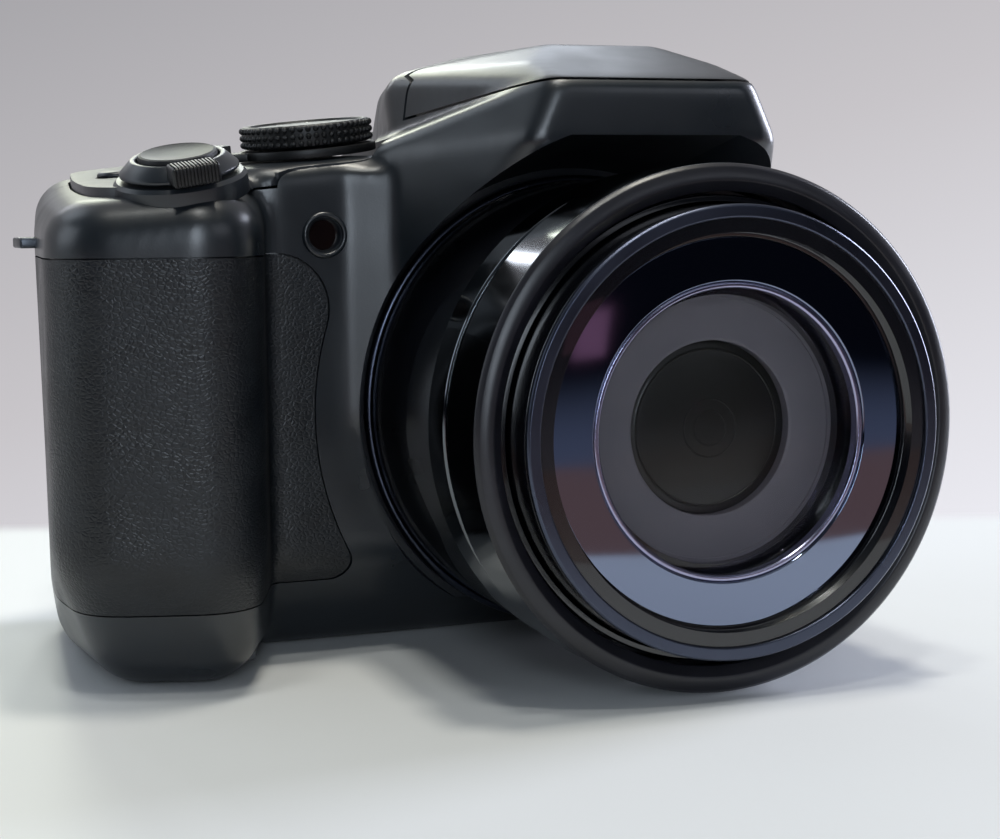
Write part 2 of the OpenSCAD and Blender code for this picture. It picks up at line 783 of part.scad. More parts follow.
module barrel_band_rear() {
  color("#8b8f94") trim_band(band_rear_h, groove_h, barrel_r + 1, barrel_r + 1.2);
}
module barrel_band_front() {
  color("#8b8f94") trim_band(band_front_h, ring_back, ring_r - 0.5, ring_r - 0.1);
}
module front_ring() {
  color("#1a1b1e") lens_frame() rotate_extrude() polygon([
    [cam_in, ring_back], [ring_r - 0.3, ring_back], [ring_r, ring_back + 0.4], [ring_r, lens_front - 0.5],
    [ring_r - 0.5, lens_front], [ring_r - 2.5, lens_front], [cam_in, lens_front - 1.4]
  ]);
}

// Moving part of the lens
module cam_ring() {
  color("#6d7075") lens_frame() tube(cam_in, cam_out, barrel_y + 1.6, ring_back - 11.6);
}
module middle_barrel() {
  color("#121315") lens_frame() tube(mid_in, mid_out, mid_rear_h, mid_front_h);
}
module rear_lens_cell() {
  color("#202225") lens_frame() tube(inner_lens_r, mid_in - fit_gap, mid_rear_h, mid_rear_h + cell_t);
}
module rear_lens() {
  color("#8fa3a0") lens_frame() translate([0, 0, mid_rear_h - 1])
    cylinder(r = inner_lens_r - fit_gap, h = cell_t + 2);
}
module front_barrel() {
  skirt = 2;
  color("#121315") lens_frame() rotate_extrude() polygon([
    [front_r - skirt, front_rear_h], [front_r, front_rear_h], [front_r, rim_h - 0.4], [front_r - 0.4, rim_h],
    [thread_r + 0.9, rim_h], [thread_r, thread_top], [thread_r, thread_bottom],
    [name_r + fit_gap, thread_bottom], [name_r + fit_gap, name_h], [lens_r + fit_gap, name_h],
    [lens_r + fit_gap, cell_h], [glass_r - 1, cell_h], [glass_r - 1, ledge_h], [front_r - skirt, ledge_h]
  ]);
}
module name_ring() {
  color("#0b0b0d") lens_frame() rotate_extrude() polygon([
    [glass_r, lens_rim + 0.15], [lens_r, lens_rim + 0.15], [lens_r, name_h], [name_r, name_h],
    [name_r, thread_bottom], [glass_r + bezel_w + 0.3, thread_bottom],
    [glass_r + bezel_w, thread_bottom - 0.3], [glass_r + bezel_w - 0.3, thread_bottom - 0.1],
    [glass_r + 0.2, thread_bottom - 0.1], [glass_r, thread_bottom - 0.3]
  ]);
}
module front_lens() {
  color("#3b3644") lens_frame() domed_disc(lens_r, cell_h, cell_h + lens_edge + bulge, bulge_r);
}
module domed_disc(r, low, crown, curve_r) {
  steps = 12;
  rotate_extrude() polygon(concat(
    [[0, low], [r, low]],
    [for (i = [0:steps]) let (x = r - r * i / steps) [x, crown - curve_r + sqrt(curve_r * curve_r - x * x)]]
  ));
}
module baffle_ring() {
  flat = 0.4;
  plate = 1.2;
  mouth = glass_r - 1.5;
  pupil = inner_lens_r + 0.4;
  deep = ledge_h - baffle_depth;
  under = ledge_h - flat - plate;
  color("#4b4650") lens_frame() rotate_extrude() polygon([
    [mouth, ledge_h], [mouth, ledge_h - flat], [pupil, deep], [pupil, deep - 3], [pupil + 1.6, deep - 3],
    [pupil + 1.6, deep - plate], [mouth + 2, under], [front_r - 4, under], [front_r - 4, ledge_h]
  ]);
}
module inner_lens() {
  crown = ledge_h - baffle_depth;
  color("#2c2f22") lens_frame() domed_disc(inner_lens_r + 0.4 - fit_gap, crown - 3, crown, 60);
}

// Controls on top
module shutter_button() {
  rest = lever_floor + shutter_stroke + slide_gap;
  color("#2c2f33") shutter_frame() rotate_extrude() polygon([
    [0, -10], [stem_r, -10], [stem_r, rest], [button_r, rest], [button_r, rest + 0.9],
    [button_r - 0.7, rest + 1.4], [0, rest + 1.6]
  ]);
}
module zoom_lever() {
  tab_w = 6.8;
  ribs = 6;
  color("#1b1c1f") shutter_frame() {
    rotate_extrude() polygon([
      [stem_r + slide_gap, slide_gap], [lever_r, slide_gap], [lever_r, slide_gap + 0.5],
      [button_r + slide_gap + 0.5, lever_h + 0.3], [button_r + slide_gap, lever_h + 0.3],
      [button_r + slide_gap, lever_floor], [stem_r + slide_gap, lever_floor]
    ]);
    difference() {
      translate([-tab_w / 2, -lever_r - 2.4, slide_gap + 0.2]) cube([tab_w, 4.2, lever_h + 0.5]);
      for (i = [0:ribs - 1])
        translate([(i + 0.5) * tab_w / ribs - tab_w / 2 - 0.2, -lever_r - 3, lever_h + 0.5])
          cube([0.4, 3, 2]);
    }
  }
}
module mode_dial() {
  teeth = 40;
  low = power_t + 2 * slide_gap;
  color("#1d1f22") panel_frame(dial_x, dial_y) difference() {
    union() {
      translate([0, 0, low]) linear_extrude(dial_h)
        polygon([for (i = [0:2 * teeth - 1])
          (dial_r - 0.45 * (i % 2)) * [cos(180 * i / teeth), sin(180 * i / teeth)]]);
      translate([0, 0, -panel_t - 1]) cylinder(r = shaft_r, h = panel_t + 1 + low);
    }
    for (i = [1, 2])
      translate([0, 0, low + i * dial_h / 3 - 0.2]) tube(dial_r - 0.6, dial_r + 1, 0, 0.4);
    translate([0, 0, low + dial_h - 0.5]) tube(dial_r - 1.8, dial_r - 1.4, 0, 1);
  }
}
module power_lever() {
  color("#1b1c1f") panel_frame(dial_x, dial_y) translate([0, 0, slide_gap]) difference() {
    union() {
      cylinder(r = dial_r + 0.3, h = power_t);
      translate([-dial_r - 5.4, -2.4, 0]) cube([dial_r + 3, 4.8, power_t]);
      translate([-dial_r - 5.4, -2.4, 0]) cube([1.8, 4.8, power_t + 1.4]);
    }
    translate([0, 0, -1]) cylinder(r = shaft_r + pin_gap, h = power_t + 2);
  }
}
module top_key(k) {
  panel_frame(k[0], k[1]) push_key(key_r, key_stem_r, 0.8, panel_t + 1.2);
}
module record_button() {
  color("#7a1f1f") top_key(top_keys[0]);
}
module function_button() {
  color("#26292d") top_key(top_keys[1]);
}

// Controls on the rear
module thumb_dial() {
  teeth = 32;
  color("#1b1c1f") translate([thumb_x, rear_y + thumb_out - thumb_dial_r, thumb_z]) {
    translate([0, 0, -thumb_t / 2]) linear_extrude(thumb_t)
      polygon([for (i = [0:2 * teeth - 1])
        (thumb_dial_r - 0.4 * (i % 2)) * [cos(180 * i / teeth), sin(180 * i / teeth)]]);
    translate([0, 0, -thumb_t / 2 - 1.6]) cylinder(r = shaft_r / 2, h = 2);
  }
}
module rear_key(r, x, z) {
  rear_frame(x, z) translate([0, 0, key_stroke + 0.3]) push_key(r, r, 0.8, wall + key_stroke);
}
module set_button() {
  color("#2a2d31") rear_key(set_r, pad_x, pad_z);
}
module cursor_key(a) {
  color("#26292d") rear_key(cursor_r, pad_x + pad_pitch * cos(a), pad_z + pad_pitch * sin(a));
}
module cursor_right() {
  cursor_key(180);
}
module cursor_up() {
  cursor_key(90);
}
module cursor_left() {
  cursor_key(0);
}
module cursor_down() {
  cursor_key(270);
}
module rear_small_key(i) {
  color("#26292d") rear_key(rear_key_r, rear_keys[i][0], rear_keys[i][1]);
}
module play_button() {
  rear_small_key(0);
}
module menu_button() {
  rear_small_key(1);
}
module display_button() {
  rear_small_key(2);
}
module lock_button() {
  rear_small_key(3);
}
module display_glass() {
  color("#101214") rear_frame(0, 0) translate([0, 0, -wall]) linear_extrude(glass_t) mirror([0, 1])
    round_rect(screen_x - screen_w / 2, screen_x + screen_w / 2,
      screen_z - screen_h / 2, screen_z + screen_h / 2, 2);
}
module display_panel() {
  inset = 2;
  color("#2b3a4a") slab(screen_x - screen_w / 2 + inset, screen_x + screen_w / 2 - inset,
    rear_y - wall - panel_depth, rear_y - wall - fit_gap,
    screen_z - screen_h / 2 + inset, screen_z + screen_h / 2 - inset);
}

// Finder and flash
module eyecup() {
  color("#161719") difference() {
    translate([0, finder_rear, 0]) rotate([-90, 0, 0]) linear_extrude(eyecup_len) mirror([0, 1])
      round_rect(-cup_half_w, cup_half_w, eye_z - cup_half_h, eye_z + cup_half_h, 5);
    translate([0, finder_rear - 1, 0]) rotate([-90, 0, 0]) linear_extrude(eyecup_len + 2) mirror([0, 1])
      round_rect(1.8 - cup_half_w, cup_half_w - 1.8, eye_z - cup_half_h + 1.8, eye_z + cup_half_h - 1.8, 4);
  }
}
module eyepiece_lens() {
  color("#4a5560") slab(fit_gap - eye_half_w, eye_half_w - fit_gap, finder_rear - wall - 2, finder_rear - 0.4,
    eye_z - eye_half_h + fit_gap, eye_z + eye_half_h - fit_gap);
}
module dioptre_dial() {
  color("#1b1c1f") translate([finder_half_w - 2.8, dioptre_y, dioptre_z]) rotate([0, 90, 0]) {
    cylinder(r = dioptre_r, h = dioptre_t);
    translate([0, 0, -2]) cylinder(r = 1.2, h = 3);
  }
}
module flash_lid() {
  color("#2b2e33") difference() {
    union() {
      difference() {
        intersection() {
          union() {
            form(hump_rings, 0);
            form(hood_rings, 0);
          }
          lid_zone(0, lid_rod_r);
        }
        form(hump_rings, lid_wall);
        form(hood_rings, lid_wall);
      }
      hinge_rod(lid_rod_r, knuckle_w);
    }
    hinge_lugs(lug_r + slide_gap, slide_gap);
    hinge_rod(pin_r + pin_gap, far);
  }
}
module flash_lamp() {
  front = hood_front - wall - 1.4;
  color("#d9dbd6") intersection() {
    slab(-lamp_half_w, lamp_half_w, -front, lamp_d - front, lamp_low, lamp_top);
    union() {
      form(hump_rings, wall + slide_gap);
      intersection() {
        form(hump_rings, lid_wall + fit_gap);
        lid_zone(0, lid_rod_r);
      }
    }
  }
}
module flash_hinge_pin() {
  color("#c3c6ca") hinge_rod(pin_r, knuckle_w + slide_gap + lug_w);
}
module flash_button() {
  color("#26292d") translate([flash_key_x, flash_key_y, flash_key_z]) rotate([0, 90, 0])
    push_key(key_r, key_r, 1.6, flash_key_sunk);
}
module lamp_window() {
  color("#b35a2a") translate([lamp_x, 1.2 - front_y, lamp_z]) rotate([-90, 0, 0])
    cylinder(r = lamp_r, h = 1.6);
}

// Doors and side pieces
module battery_door() {
  color("#1d1f22") difference() {
    union() {
      slab(door_x0, door_x1, door_y0, door_y1, door_low, door_low + door_t);
      translate([hinge_x, door_y0, hinge_h]) rotate([-90, 0, 0])
        cylinder(r = knuckle_r, h = door_y1 - door_y0);
      slab(door_x1 - 1, hinge_x, door_y0, door_y1, hinge_h - knuckle_r, hinge_h - 0.2);
    }
    door_bore();
    latch_slot(slide_gap, 3);
  }
}
module latch_slot(c, travel) {
  slab(door_x0 + 2 - c, door_x0 + 6 + c, -12 - c, -5 + travel + c, door_low - 1, door_low + door_t + 1);
}
module door_latch() {
  color("#3a3d41") {
    slab(door_x0 + 2, door_x0 + 6, -12, -5, door_low + 0.3, door_low + door_t + 0.6);
    slab(door_x0 + 1, door_x0 + 7, -12, -5, door_low + door_t + slide_gap, door_low + door_t + 1);
  }
}
module door_hinge_pin() {
  color("#c3c6ca") translate([hinge_x, door_y0 - 3, hinge_h]) rotate([-90, 0, 0])
    cylinder(r = pin_r, h = door_y1 - door_y0 + 6);
}
module terminal_door() {
  color("#1f2124") difference() {
    union() {
      slab(body_right - term_t, body_right, term_y0 + term_t / 2, term_y1, term_z0, term_z1);
      terminal_pin(term_t / 2, 0);
      terminal_pin(term_pin_r, 1.5);
    }
    slab(body_right - 0.6, body_right + 1, term_y1 - 2.2, term_y1 + 1,
      (term_z0 + term_z1) / 2 - 3, (term_z0 + term_z1) / 2 + 3);
  }
}
module strap_lugs() {
  color("#a9acb0") for (side = [-1, 1]) difference() {
    lug_bar(side, 0);
    translate([side < 0 ? 0.8 - grip_left : body_right + 0.2, lug_y - 2.8, lug_z - 2]) cube([1.5, 5.6, 4]);
  }
}

front_cover();
rear_cover();
control_panel();
base_cover();
grip_rubber();
thumb_pad();
chassis();
tripod_bush();
barrel_collar();
fixed_barrel();
barrel_band_rear();
barrel_band_front();
front_ring();
strap_lugs();
lamp_window();
display_panel();
display_glass();
main_board();
image_sensor();
battery_box();
battery();
memory_card();
eyecup();
eyepiece_lens();
base_screws();
zoom_motor();
flash_hinge_pin();
door_hinge_pin();
cam_ring();
middle_barrel();
rear_lens_cell();
rear_lens();
front_barrel();
name_ring();
front_lens();
baffle_ring();
inner_lens();
shutter_button();
zoom_lever();
mode_dial();
power_lever();
record_button();
function_button();
thumb_dial();
flash_lid();
flash_lamp();
flash_button();
battery_door();
door_latch();
terminal_door();
dioptre_dial();
set_button();
cursor_up();
cursor_down();
cursor_left();
cursor_right();
play_button();
menu_button();
display_button();
lock_button();
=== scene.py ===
import bpy
import json
import math
from mathutils import Matrix, Vector


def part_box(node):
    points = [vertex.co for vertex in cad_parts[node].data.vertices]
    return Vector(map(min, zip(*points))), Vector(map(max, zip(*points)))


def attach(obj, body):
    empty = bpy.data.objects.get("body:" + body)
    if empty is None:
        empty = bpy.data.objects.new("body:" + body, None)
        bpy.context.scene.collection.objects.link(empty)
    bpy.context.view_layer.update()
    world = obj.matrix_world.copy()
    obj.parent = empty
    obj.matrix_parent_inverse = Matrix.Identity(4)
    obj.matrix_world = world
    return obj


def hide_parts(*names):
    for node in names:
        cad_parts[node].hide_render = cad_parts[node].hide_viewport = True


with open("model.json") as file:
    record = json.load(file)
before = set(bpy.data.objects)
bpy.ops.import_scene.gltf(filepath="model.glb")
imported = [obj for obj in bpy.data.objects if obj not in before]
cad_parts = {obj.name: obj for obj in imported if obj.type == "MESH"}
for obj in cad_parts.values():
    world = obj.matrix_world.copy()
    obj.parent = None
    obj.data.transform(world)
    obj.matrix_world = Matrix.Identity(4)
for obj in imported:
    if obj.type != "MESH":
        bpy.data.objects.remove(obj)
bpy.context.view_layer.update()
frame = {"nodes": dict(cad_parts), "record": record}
mm = 0.001
print("frame loaded:", len(frame["nodes"]), "nodes")


# Camera, floor and light

photoCamera = {  # solved from the photograph, millimetres and radians
    "place": (-127.65, -314.51, 68.27),
    "yaw": 0.3689,
    "pitch": 0.1044,
    "roll": -0.0122,
    "lens": 71.39,
}
tableTop = {
    "farEdge": 432,  # from the camera to the table's far edge, mm
    "edgeBlur": 9,
    "nearEdge": -186,  # along Y: the near edge, which only mirrors see
    "floorEdge": -315,  # and where the floor before it ends
    "board": "#dfe1e1",
    "rightward": 0.7, "downward": 2.0, "level": 0.47,  # how the backdrop brightens
    "dim": "#a09fa3",  # backdrop, high on the left
    "middle": "#c8c5c9",
    "bright": "#efeff6",  # backdrop, low on the right
    "nearRoom": "#0f1118",  # what a mirror sees on the camera's side
    "nearHaze": "#6d7384",  # low and close
    "nearFloor": "#93736c",  # past the table's near edge
    "ceiling": "#4a5056",
}


def viewAxes(view):
    yaw, pitch, roll = view["yaw"], view["pitch"], view["roll"]
    ahead = Vector((math.sin(yaw) * math.cos(pitch), math.cos(yaw) * math.cos(pitch), -math.sin(pitch)))
    level = Vector((math.cos(yaw), -math.sin(yaw), 0))
    rise = level.cross(ahead)
    right = level * math.cos(roll) + rise * math.sin(roll)
    up = rise * math.cos(roll) - level * math.sin(roll)
    return right, up, ahead


def linear(hexCode):  # sRGB hex to linear colour
    parts = [int(hexCode[i:i + 2], 16) / 255 for i in (1, 3, 5)]
    return [c / 12.92 if c <= 0.04045 else ((c + 0.055) / 1.055) ** 2.4 for c in parts] + [1.0]


def addNode(tree, kind, settings=None):  # among its settings, sockets are linked and values are set
    node = tree.nodes.new("ShaderNode" + kind)
    for name, value in (settings or {}).items():
        if isinstance(value, bpy.types.NodeSocket):
            tree.links.new(value, node.inputs[name])
        elif isinstance(name, int) or name in node.inputs:
            node.inputs[name].default_value = value
        else:
            setattr(node, name, value)
    return node


def result(tree, kind, settings):  # what a new node gives
    return addNode(tree, kind, settings).outputs[0]


def maths(tree, how, first, second):
    return result(tree, "Math", {"operation": how, 0: first, 1: second})


def mixed(tree, kind, share, first, second):
    return result(tree, "Mix" + kind, {"Fac": share, 1: first, 2: second})


def principled(name, colour, rough, settings=None):
    mat = bpy.data.materials.new(name)
    mat.use_nodes = True
    sockets = mat.node_tree.nodes["Principled BSDF"].inputs
    sockets["Base Color"].default_value = linear(colour)
    sockets["Roughness"].default_value = rough
    for socket, value in (settings or {}).items():
        sockets[socket].default_value = value
    return mat


def placeCamera():
    right, up, ahead = viewAxes(photoCamera)
    bpy.ops.object.camera_add()
    camera = bpy.context.object
    turn = Matrix((right, up, -ahead)).transposed().to_4x4()
    camera.matrix_world = Matrix.Translation(Vector(photoCamera["place"]) * mm) @ turn
    camera.data.lens = photoCamera["lens"]
    camera.data.sensor_width = 36
    camera.data.clip_start = 0.01
    bpy.context.scene.camera = camera


def seenDirectly(tree):  # 1 for rays from the camera, a mirror or glass, and 1 for a mirror's alone
    path = addNode(tree, "LightPath").outputs
    mirrored = path["Is Glossy Ray"]
    first = maths(tree, "MAXIMUM", path["Is Camera Ray"], path["Is Transmission Ray"])
    return maths(tree, "MAXIMUM", first, mirrored), mirrored


def stepped(tree, value, low, high):  # 0 below low, 1 above high
    return result(tree, "MapRange", {"interpolation_type": "SMOOTHSTEP", "From Min": low, "From Max": high,
                                     "Value": value})


def along(tree, vector, axis):
    return addNode(tree, "VectorMath", {"operation": "DOT_PRODUCT", 0: vector, 1: axis}).outputs["Value"]


def backdropColour(tree, direction):  # pale, and brighter to the right and towards the table
    slope = viewAxes(photoCamera)[0] * tableTop["rightward"] - Vector((0, 0, tableTop["downward"]))
    share = maths(tree, "ADD", along(tree, direction, slope), tableTop["level"])
    ramp = addNode(tree, "ValToRGB", {"Fac": share})
    stops = ramp.color_ramp.elements
    stops.new(0.5)
    for stop, name in zip(stops, ("dim", "middle", "bright")):
        stop.color = linear(tableTop[name])
    return ramp.outputs["Color"]


def mirrorColour(tree, direction, backdrop):  # the backdrop, with a dim room on the camera's side
    rise = stepped(tree, along(tree, direction, (0, 0, 1)), 0.25, 0.95)
    room = mixed(tree, "RGB", rise, linear(tableTop["nearRoom"]), linear(tableTop["ceiling"]))
    towards = -viewAxes(photoCamera)[2]
    near = stepped(tree, along(tree, direction, (towards.x, towards.y, 0)), -0.45, 0.1)
    return mixed(tree, "RGB", near, backdrop, room)


def makeTable():
    bpy.ops.mesh.primitive_plane_add(size=8)
    table = bpy.context.object
    table.name = "tableTop"
    mat = principled("lacquered white board", tableTop["board"], 0.5)  # half matt, keeps the soft shadow
    tree = mat.node_tree
    board = tree.nodes["Principled BSDF"].outputs[0]
    spot = addNode(tree, "TexCoord").outputs["Object"]
    eye = Vector(photoCamera["place"]) * mm
    offset = result(tree, "VectorMath", {"operation": "SUBTRACT", 0: spot, 1: eye})
    direction = result(tree, "VectorMath", {"operation": "NORMALIZE", 0: offset})
    ahead = Vector((math.sin(photoCamera["yaw"]), math.cos(photoCamera["yaw"]), 0))
    depth, front = along(tree, offset, ahead), along(tree, spot, (0, 1, 0))
    far, near, floor = (tableTop[name] * mm for name in ("farEdge", "nearEdge", "floorEdge"))
    blur = tableTop["edgeBlur"] * mm
    direct, mirrored = seenDirectly(tree)
    beyond = maths(tree, "MULTIPLY", stepped(tree, depth, far - blur, far + blur), direct)
    before = maths(tree, "SUBTRACT", 1.0, stepped(tree, front, near - blur / 3, near + blur / 3))
    dim = maths(tree, "MULTIPLY", before, mirrored)
    haze = mixed(tree, "RGB", stepped(tree, front, floor * 2, floor), linear(tableTop["nearRoom"]),
                 linear(tableTop["nearHaze"]))
    shade = mixed(tree, "RGB", stepped(tree, front, floor - blur, floor + blur), haze,
                  linear(tableTop["nearFloor"]))
    pale = result(tree, "Emission", {"Color": backdropColour(tree, direction)})
    dark = result(tree, "Emission", {"Color": shade})
    seen = mixed(tree, "Shader", dim, mixed(tree, "Shader", beyond, board, pale), dark)
    tree.links.new(seen, tree.nodes["Material Output"].inputs["Surface"])
    table.data.materials.append(mat)


studio = {  # softboxes: place and aim in metres, width, height, watts, colour
    "window": ((-0.02, 0.92, 0.60), (0, -0.05, 0.06), 0.17, 0.34, 1.5, "#f4fae6"),
    "leftWindow": ((-0.24, 0.92, 0.58), (0, -0.05, 0.06), 0.05, 0.34, 0.5, "#f4f7ff"),
    "rightWindow": ((0.17, 0.92, 0.57), (0, -0.05, 0.06), 0.07, 0.34, 0.6, "#f7fbef"),
    "backWall": ((0.30, 0.98, 0.80), (0, -0.05, 0.09), 0.50, 0.30, 1.8, "#dde6f2"),
    "ceiling": ((0.08, -0.05, 1.02), (-0.04, -0.04, 0.06), 0.13, 0.13, 3.9, "#f8f4e8"),
    "leftCeiling": ((-0.20, -0.18, 1.00), (-0.04, -0.04, 0.06), 0.09, 0.09, 1.4, "#f2f3ee"),
    "frontCeiling": ((-0.13, -0.42, 0.95), (-0.04, -0.04, 0.06), 0.08, 0.08, 1.5, "#f2f3ee"),
    "overhead": ((0.16, -0.70, 1.15), (0.05, -0.22, 0), 0.80, 0.50, 0.4, "#f2f4ee"),
    "left": ((-0.90, 0.15, 0.36), (0, 0, 0.05), 0.50, 0.45, 1.4, "#dfe9f4"),
    "leftRear": ((-0.58, 0.52, 0.80), (0, 0, 0.07), 0.50, 0.40, 1.2, "#d6e2ee"),
    "leftFront": ((-0.30, -0.98, 0.26), (0, -0.02, 0.06), 0.13, 0.46, 2.6, "#dbe7f4"),
    "rightFront": ((0.40, -0.90, 0.42), (0, -0.02, 0.06), 0.50, 0.30, 0.6, "#dfe4f0"),
    "right": ((0.90, 0.12, 0.30), (0, 0, 0.05), 0.24, 0.56, 10.5, "#e6ebff"),
    "pinkCard": ((0.198, -0.576, 0.0195), (-0.022, -0.073, 0.054), 0.018, 0.022, 0.0007, "#d994b0"),
}
roomLight = ("#dbe4f0", 0.08)


def lightStudio():
    for name, (place, aim, width, height, watts, colour) in studio.items():
        bpy.ops.object.light_add(type="AREA", location=place)
        lamp = bpy.context.object
        lamp.name = name + "Softbox"
        lamp.visible_camera = False
        lamp.data.shape = "RECTANGLE"
        lamp.data.size = width
        lamp.data.size_y = height
        lamp.data.energy = watts
        lamp.data.color = linear(colour)[:3]
        lamp.rotation_euler = (Vector(aim) - Vector(place)).to_track_quat("-Z", "Y").to_euler()
    world = bpy.data.worlds.new("studioRoom")
    bpy.context.scene.world = world
    world.use_nodes = True
    tree = world.node_tree
    room = tree.nodes["Background"]
    room.inputs["Color"].default_value = linear(roomLight[0])
    room.inputs["Strength"].default_value = roomLight[1]
    direction = addNode(tree, "TexCoord").outputs["Generated"]
    direct, mirrored = seenDirectly(tree)
    backdrop = backdropColour(tree, direction)
    colour = mixed(tree, "RGB", mirrored, backdrop, mirrorColour(tree, direction, backdrop))
    shown = result(tree, "Background", {"Color": colour})
    blend = mixed(tree, "Shader", direct, room.outputs[0], shown)
    tree.links.new(blend, tree.nodes["World Output"].inputs["Surface"])
    bpy.context.scene.view_settings.view_transform = "Standard"


placeCamera()
makeTable()
lightStudio()
print("camera, table and lights set")


# Shaping tools

forward, rearward = (Matrix.Rotation(turn * math.pi / 2, 4, "X") for turn in (1, -1))  # where a Z axis points
sideways = Matrix.Rotation(math.pi / 2, 4, "Y")


def at(spot, turn):  # a place in mm and a turn
    return Matrix.Translation(Vector(spot) * mm) @ turn


def boxOf(node):  # a solid's corners and middle, mm
    low, high = (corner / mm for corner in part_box(node))
    return low, high, (low + high) / 2


def pick(*pieces):
    if bpy.context.mode != "OBJECT":
        bpy.ops.object.mode_set(mode="OBJECT")
    bpy.ops.object.select_all(action="DESELECT")
    for piece in pieces:
        piece.select_set(True)
    bpy.context.view_layer.objects.active = pieces[0]


def edit(piece):
    pick(piece)
    bpy.ops.object.mode_set(mode="EDIT")
    bpy.ops.mesh.select_all(action="SELECT")


def done():
    bpy.ops.object.mode_set(mode="OBJECT")
    return bpy.context.object


def applied(piece, kind, **settings):
    pick(piece)
    mod = piece.modifiers.new(kind.lower(), kind)
    for name, value in settings.items():
        setattr(mod, name, value)
    bpy.ops.object.modifier_apply(modifier=mod.name)
    return piece


def joinedBy(piece, tool, how):
    return applied(piece, "BOOLEAN", object=tool, operation=how, solver="MANIFOLD")


def copyOf(piece, name):
    pick(piece)
    bpy.ops.object.duplicate()
    twin = bpy.context.object
    twin.name = name
    return twin


def discard(*pieces):
    pick(*pieces)
    bpy.ops.object.delete()


def placed(piece, matrix):  # the place goes into the mesh
    pick(piece)
    piece.matrix_world = matrix
    bpy.ops.object.transform_apply()
    return piece


def softEdges(piece, width, segments=2, angle=35):
    return applied(piece, "BEVEL", width=width * mm, segments=segments, limit_method="ANGLE",
                   angle_limit=math.radians(angle))


def merged():
    bpy.ops.mesh.select_all(action="SELECT")
    bpy.ops.mesh.remove_doubles(threshold=1e-7)


def traced(name, points):  # a chain of edges through points in mm, left open in edit mode
    start = points[0]
    bpy.ops.mesh.primitive_plane_add(size=mm, location=[v * mm for v in start])
    piece = bpy.context.object
    piece.name = name
    bpy.ops.object.transform_apply()
    edit(piece)
    bpy.ops.mesh.merge(type="CENTER")
    for point in points[1:]:
        step = [(b - a) * mm for a, b in zip(start, point)]
        bpy.ops.mesh.extrude_region_move(TRANSFORM_OT_translate={"value": step})
        start = point
    merged()


def turned(name, profile, steps=128):  # (radius, height) points in mm, spun about Z
    traced(name, [(radius, 0, height) for radius, height in profile])
    bpy.ops.mesh.spin(steps=steps, angle=2 * math.pi, axis=(0, 0, 1))
    merged()
    bpy.ops.mesh.normals_make_consistent(inside=False)
    return done()


def ringed(name, profile, steps=128):  # a closed outline
    return turned(name, profile + [profile[0]], steps)


def cylinder(name, radius, low, high, steps=48):
    return turned(name, [(0, low), (radius, low), (radius, high), (0, high)], steps)


def blockBetween(name, low, high):
    middle = [(a + b) / 2 * mm for a, b in zip(low, high)]
    bpy.ops.mesh.primitive_cube_add(size=1, location=middle)
    piece = bpy.context.object
    piece.name = name
    piece.scale = [(b - a) * mm for a, b in zip(low, high)]
    bpy.ops.object.transform_apply()
    return piece


def prism(name, outline, low, high):  # an outline in X and Y, drawn out from low to high
    traced(name, [(x, y, low) for x, y in outline + outline[:1]])
    bpy.ops.mesh.edge_face_add()
    bpy.ops.mesh.extrude_region_move(TRANSFORM_OT_translate={"value": (0, 0, (high - low) * mm)})
    bpy.ops.mesh.select_all(action="SELECT")
    bpy.ops.mesh.normals_make_consistent(inside=False)
    return done()


def hullOver(name, rings, inset):  # rings [x, y, z, radius, edge radius] in mm, under one tight skin
    for i, (x, y, z, radius, edge) in enumerate(rings):
        bpy.ops.mesh.primitive_torus_add(
            location=(x * mm, y * mm, z * mm), major_segments=40, minor_segments=20,
            major_radius=max(radius - edge, 0.05) * mm, minor_radius=max(edge - inset, 0.1) * mm)
        if i == 0:
            piece = bpy.context.object
            piece.name = name
            bpy.ops.object.transform_apply()
            edit(piece)
    bpy.ops.mesh.select_all(action="SELECT")
    bpy.ops.mesh.convex_hull()
    return done()


# Materials

def cellsOf(mat, size, stretch=(1, 1, 1)):  # object coordinates counted in cells of a size in mm
    spot = addNode(mat.node_tree, "TexCoord").outputs["Object"]
    return result(mat.node_tree, "Mapping", {"Scale": [s / (size * mm) for s in stretch], "Vector": spot})


def noiseOf(mat, size, detail, stretch=(1, 1, 1)):
    cells = cellsOf(mat, size, stretch)
    return result(mat.node_tree, "TexNoise", {"Scale": 1, "Detail": detail, "Vector": cells})


def fed(mat, socket, source):
    mat.node_tree.links.new(source, mat.node_tree.nodes["Principled BSDF"].inputs[socket])


def drift(mat, size, low, high):  # a roughness that changes slowly over the surface
    span = {"From Min": 0.3, "From Max": 0.7, "To Min": low, "To Max": high, "Value": noiseOf(mat, size, 3)}
    fed(mat, "Roughness", result(mat.node_tree, "MapRange", span))
    return mat


def shades(mat, size, dark, light):  # a colour that wanders between two shades
    ramp = addNode(mat.node_tree, "ValToRGB", {"Fac": noiseOf(mat, size, 4)})
    for stop, place, colour in zip(ramp.color_ramp.elements, (0.3, 0.7), (dark, light)):
        stop.position = place
        stop.color = linear(colour)
    fed(mat, "Base Color", ramp.outputs["Color"])


def relief(mat, height, depth):  # raised by a height texture, depth in mm
    fed(mat, "Normal", result(mat.node_tree, "Bump", {"Distance": depth * mm, "Height": height}))


def moulded(name, dark, light, rough, size, depth, sheen=0.5):  # with the even pitting of its mould
    mat = principled(name, light, rough, {"Specular IOR Level": sheen})
    shades(mat, 9, dark, light)
    relief(mat, noiseOf(mat, size, 2), depth)
    return drift(mat, 14, rough - 0.05, rough + 0.06)


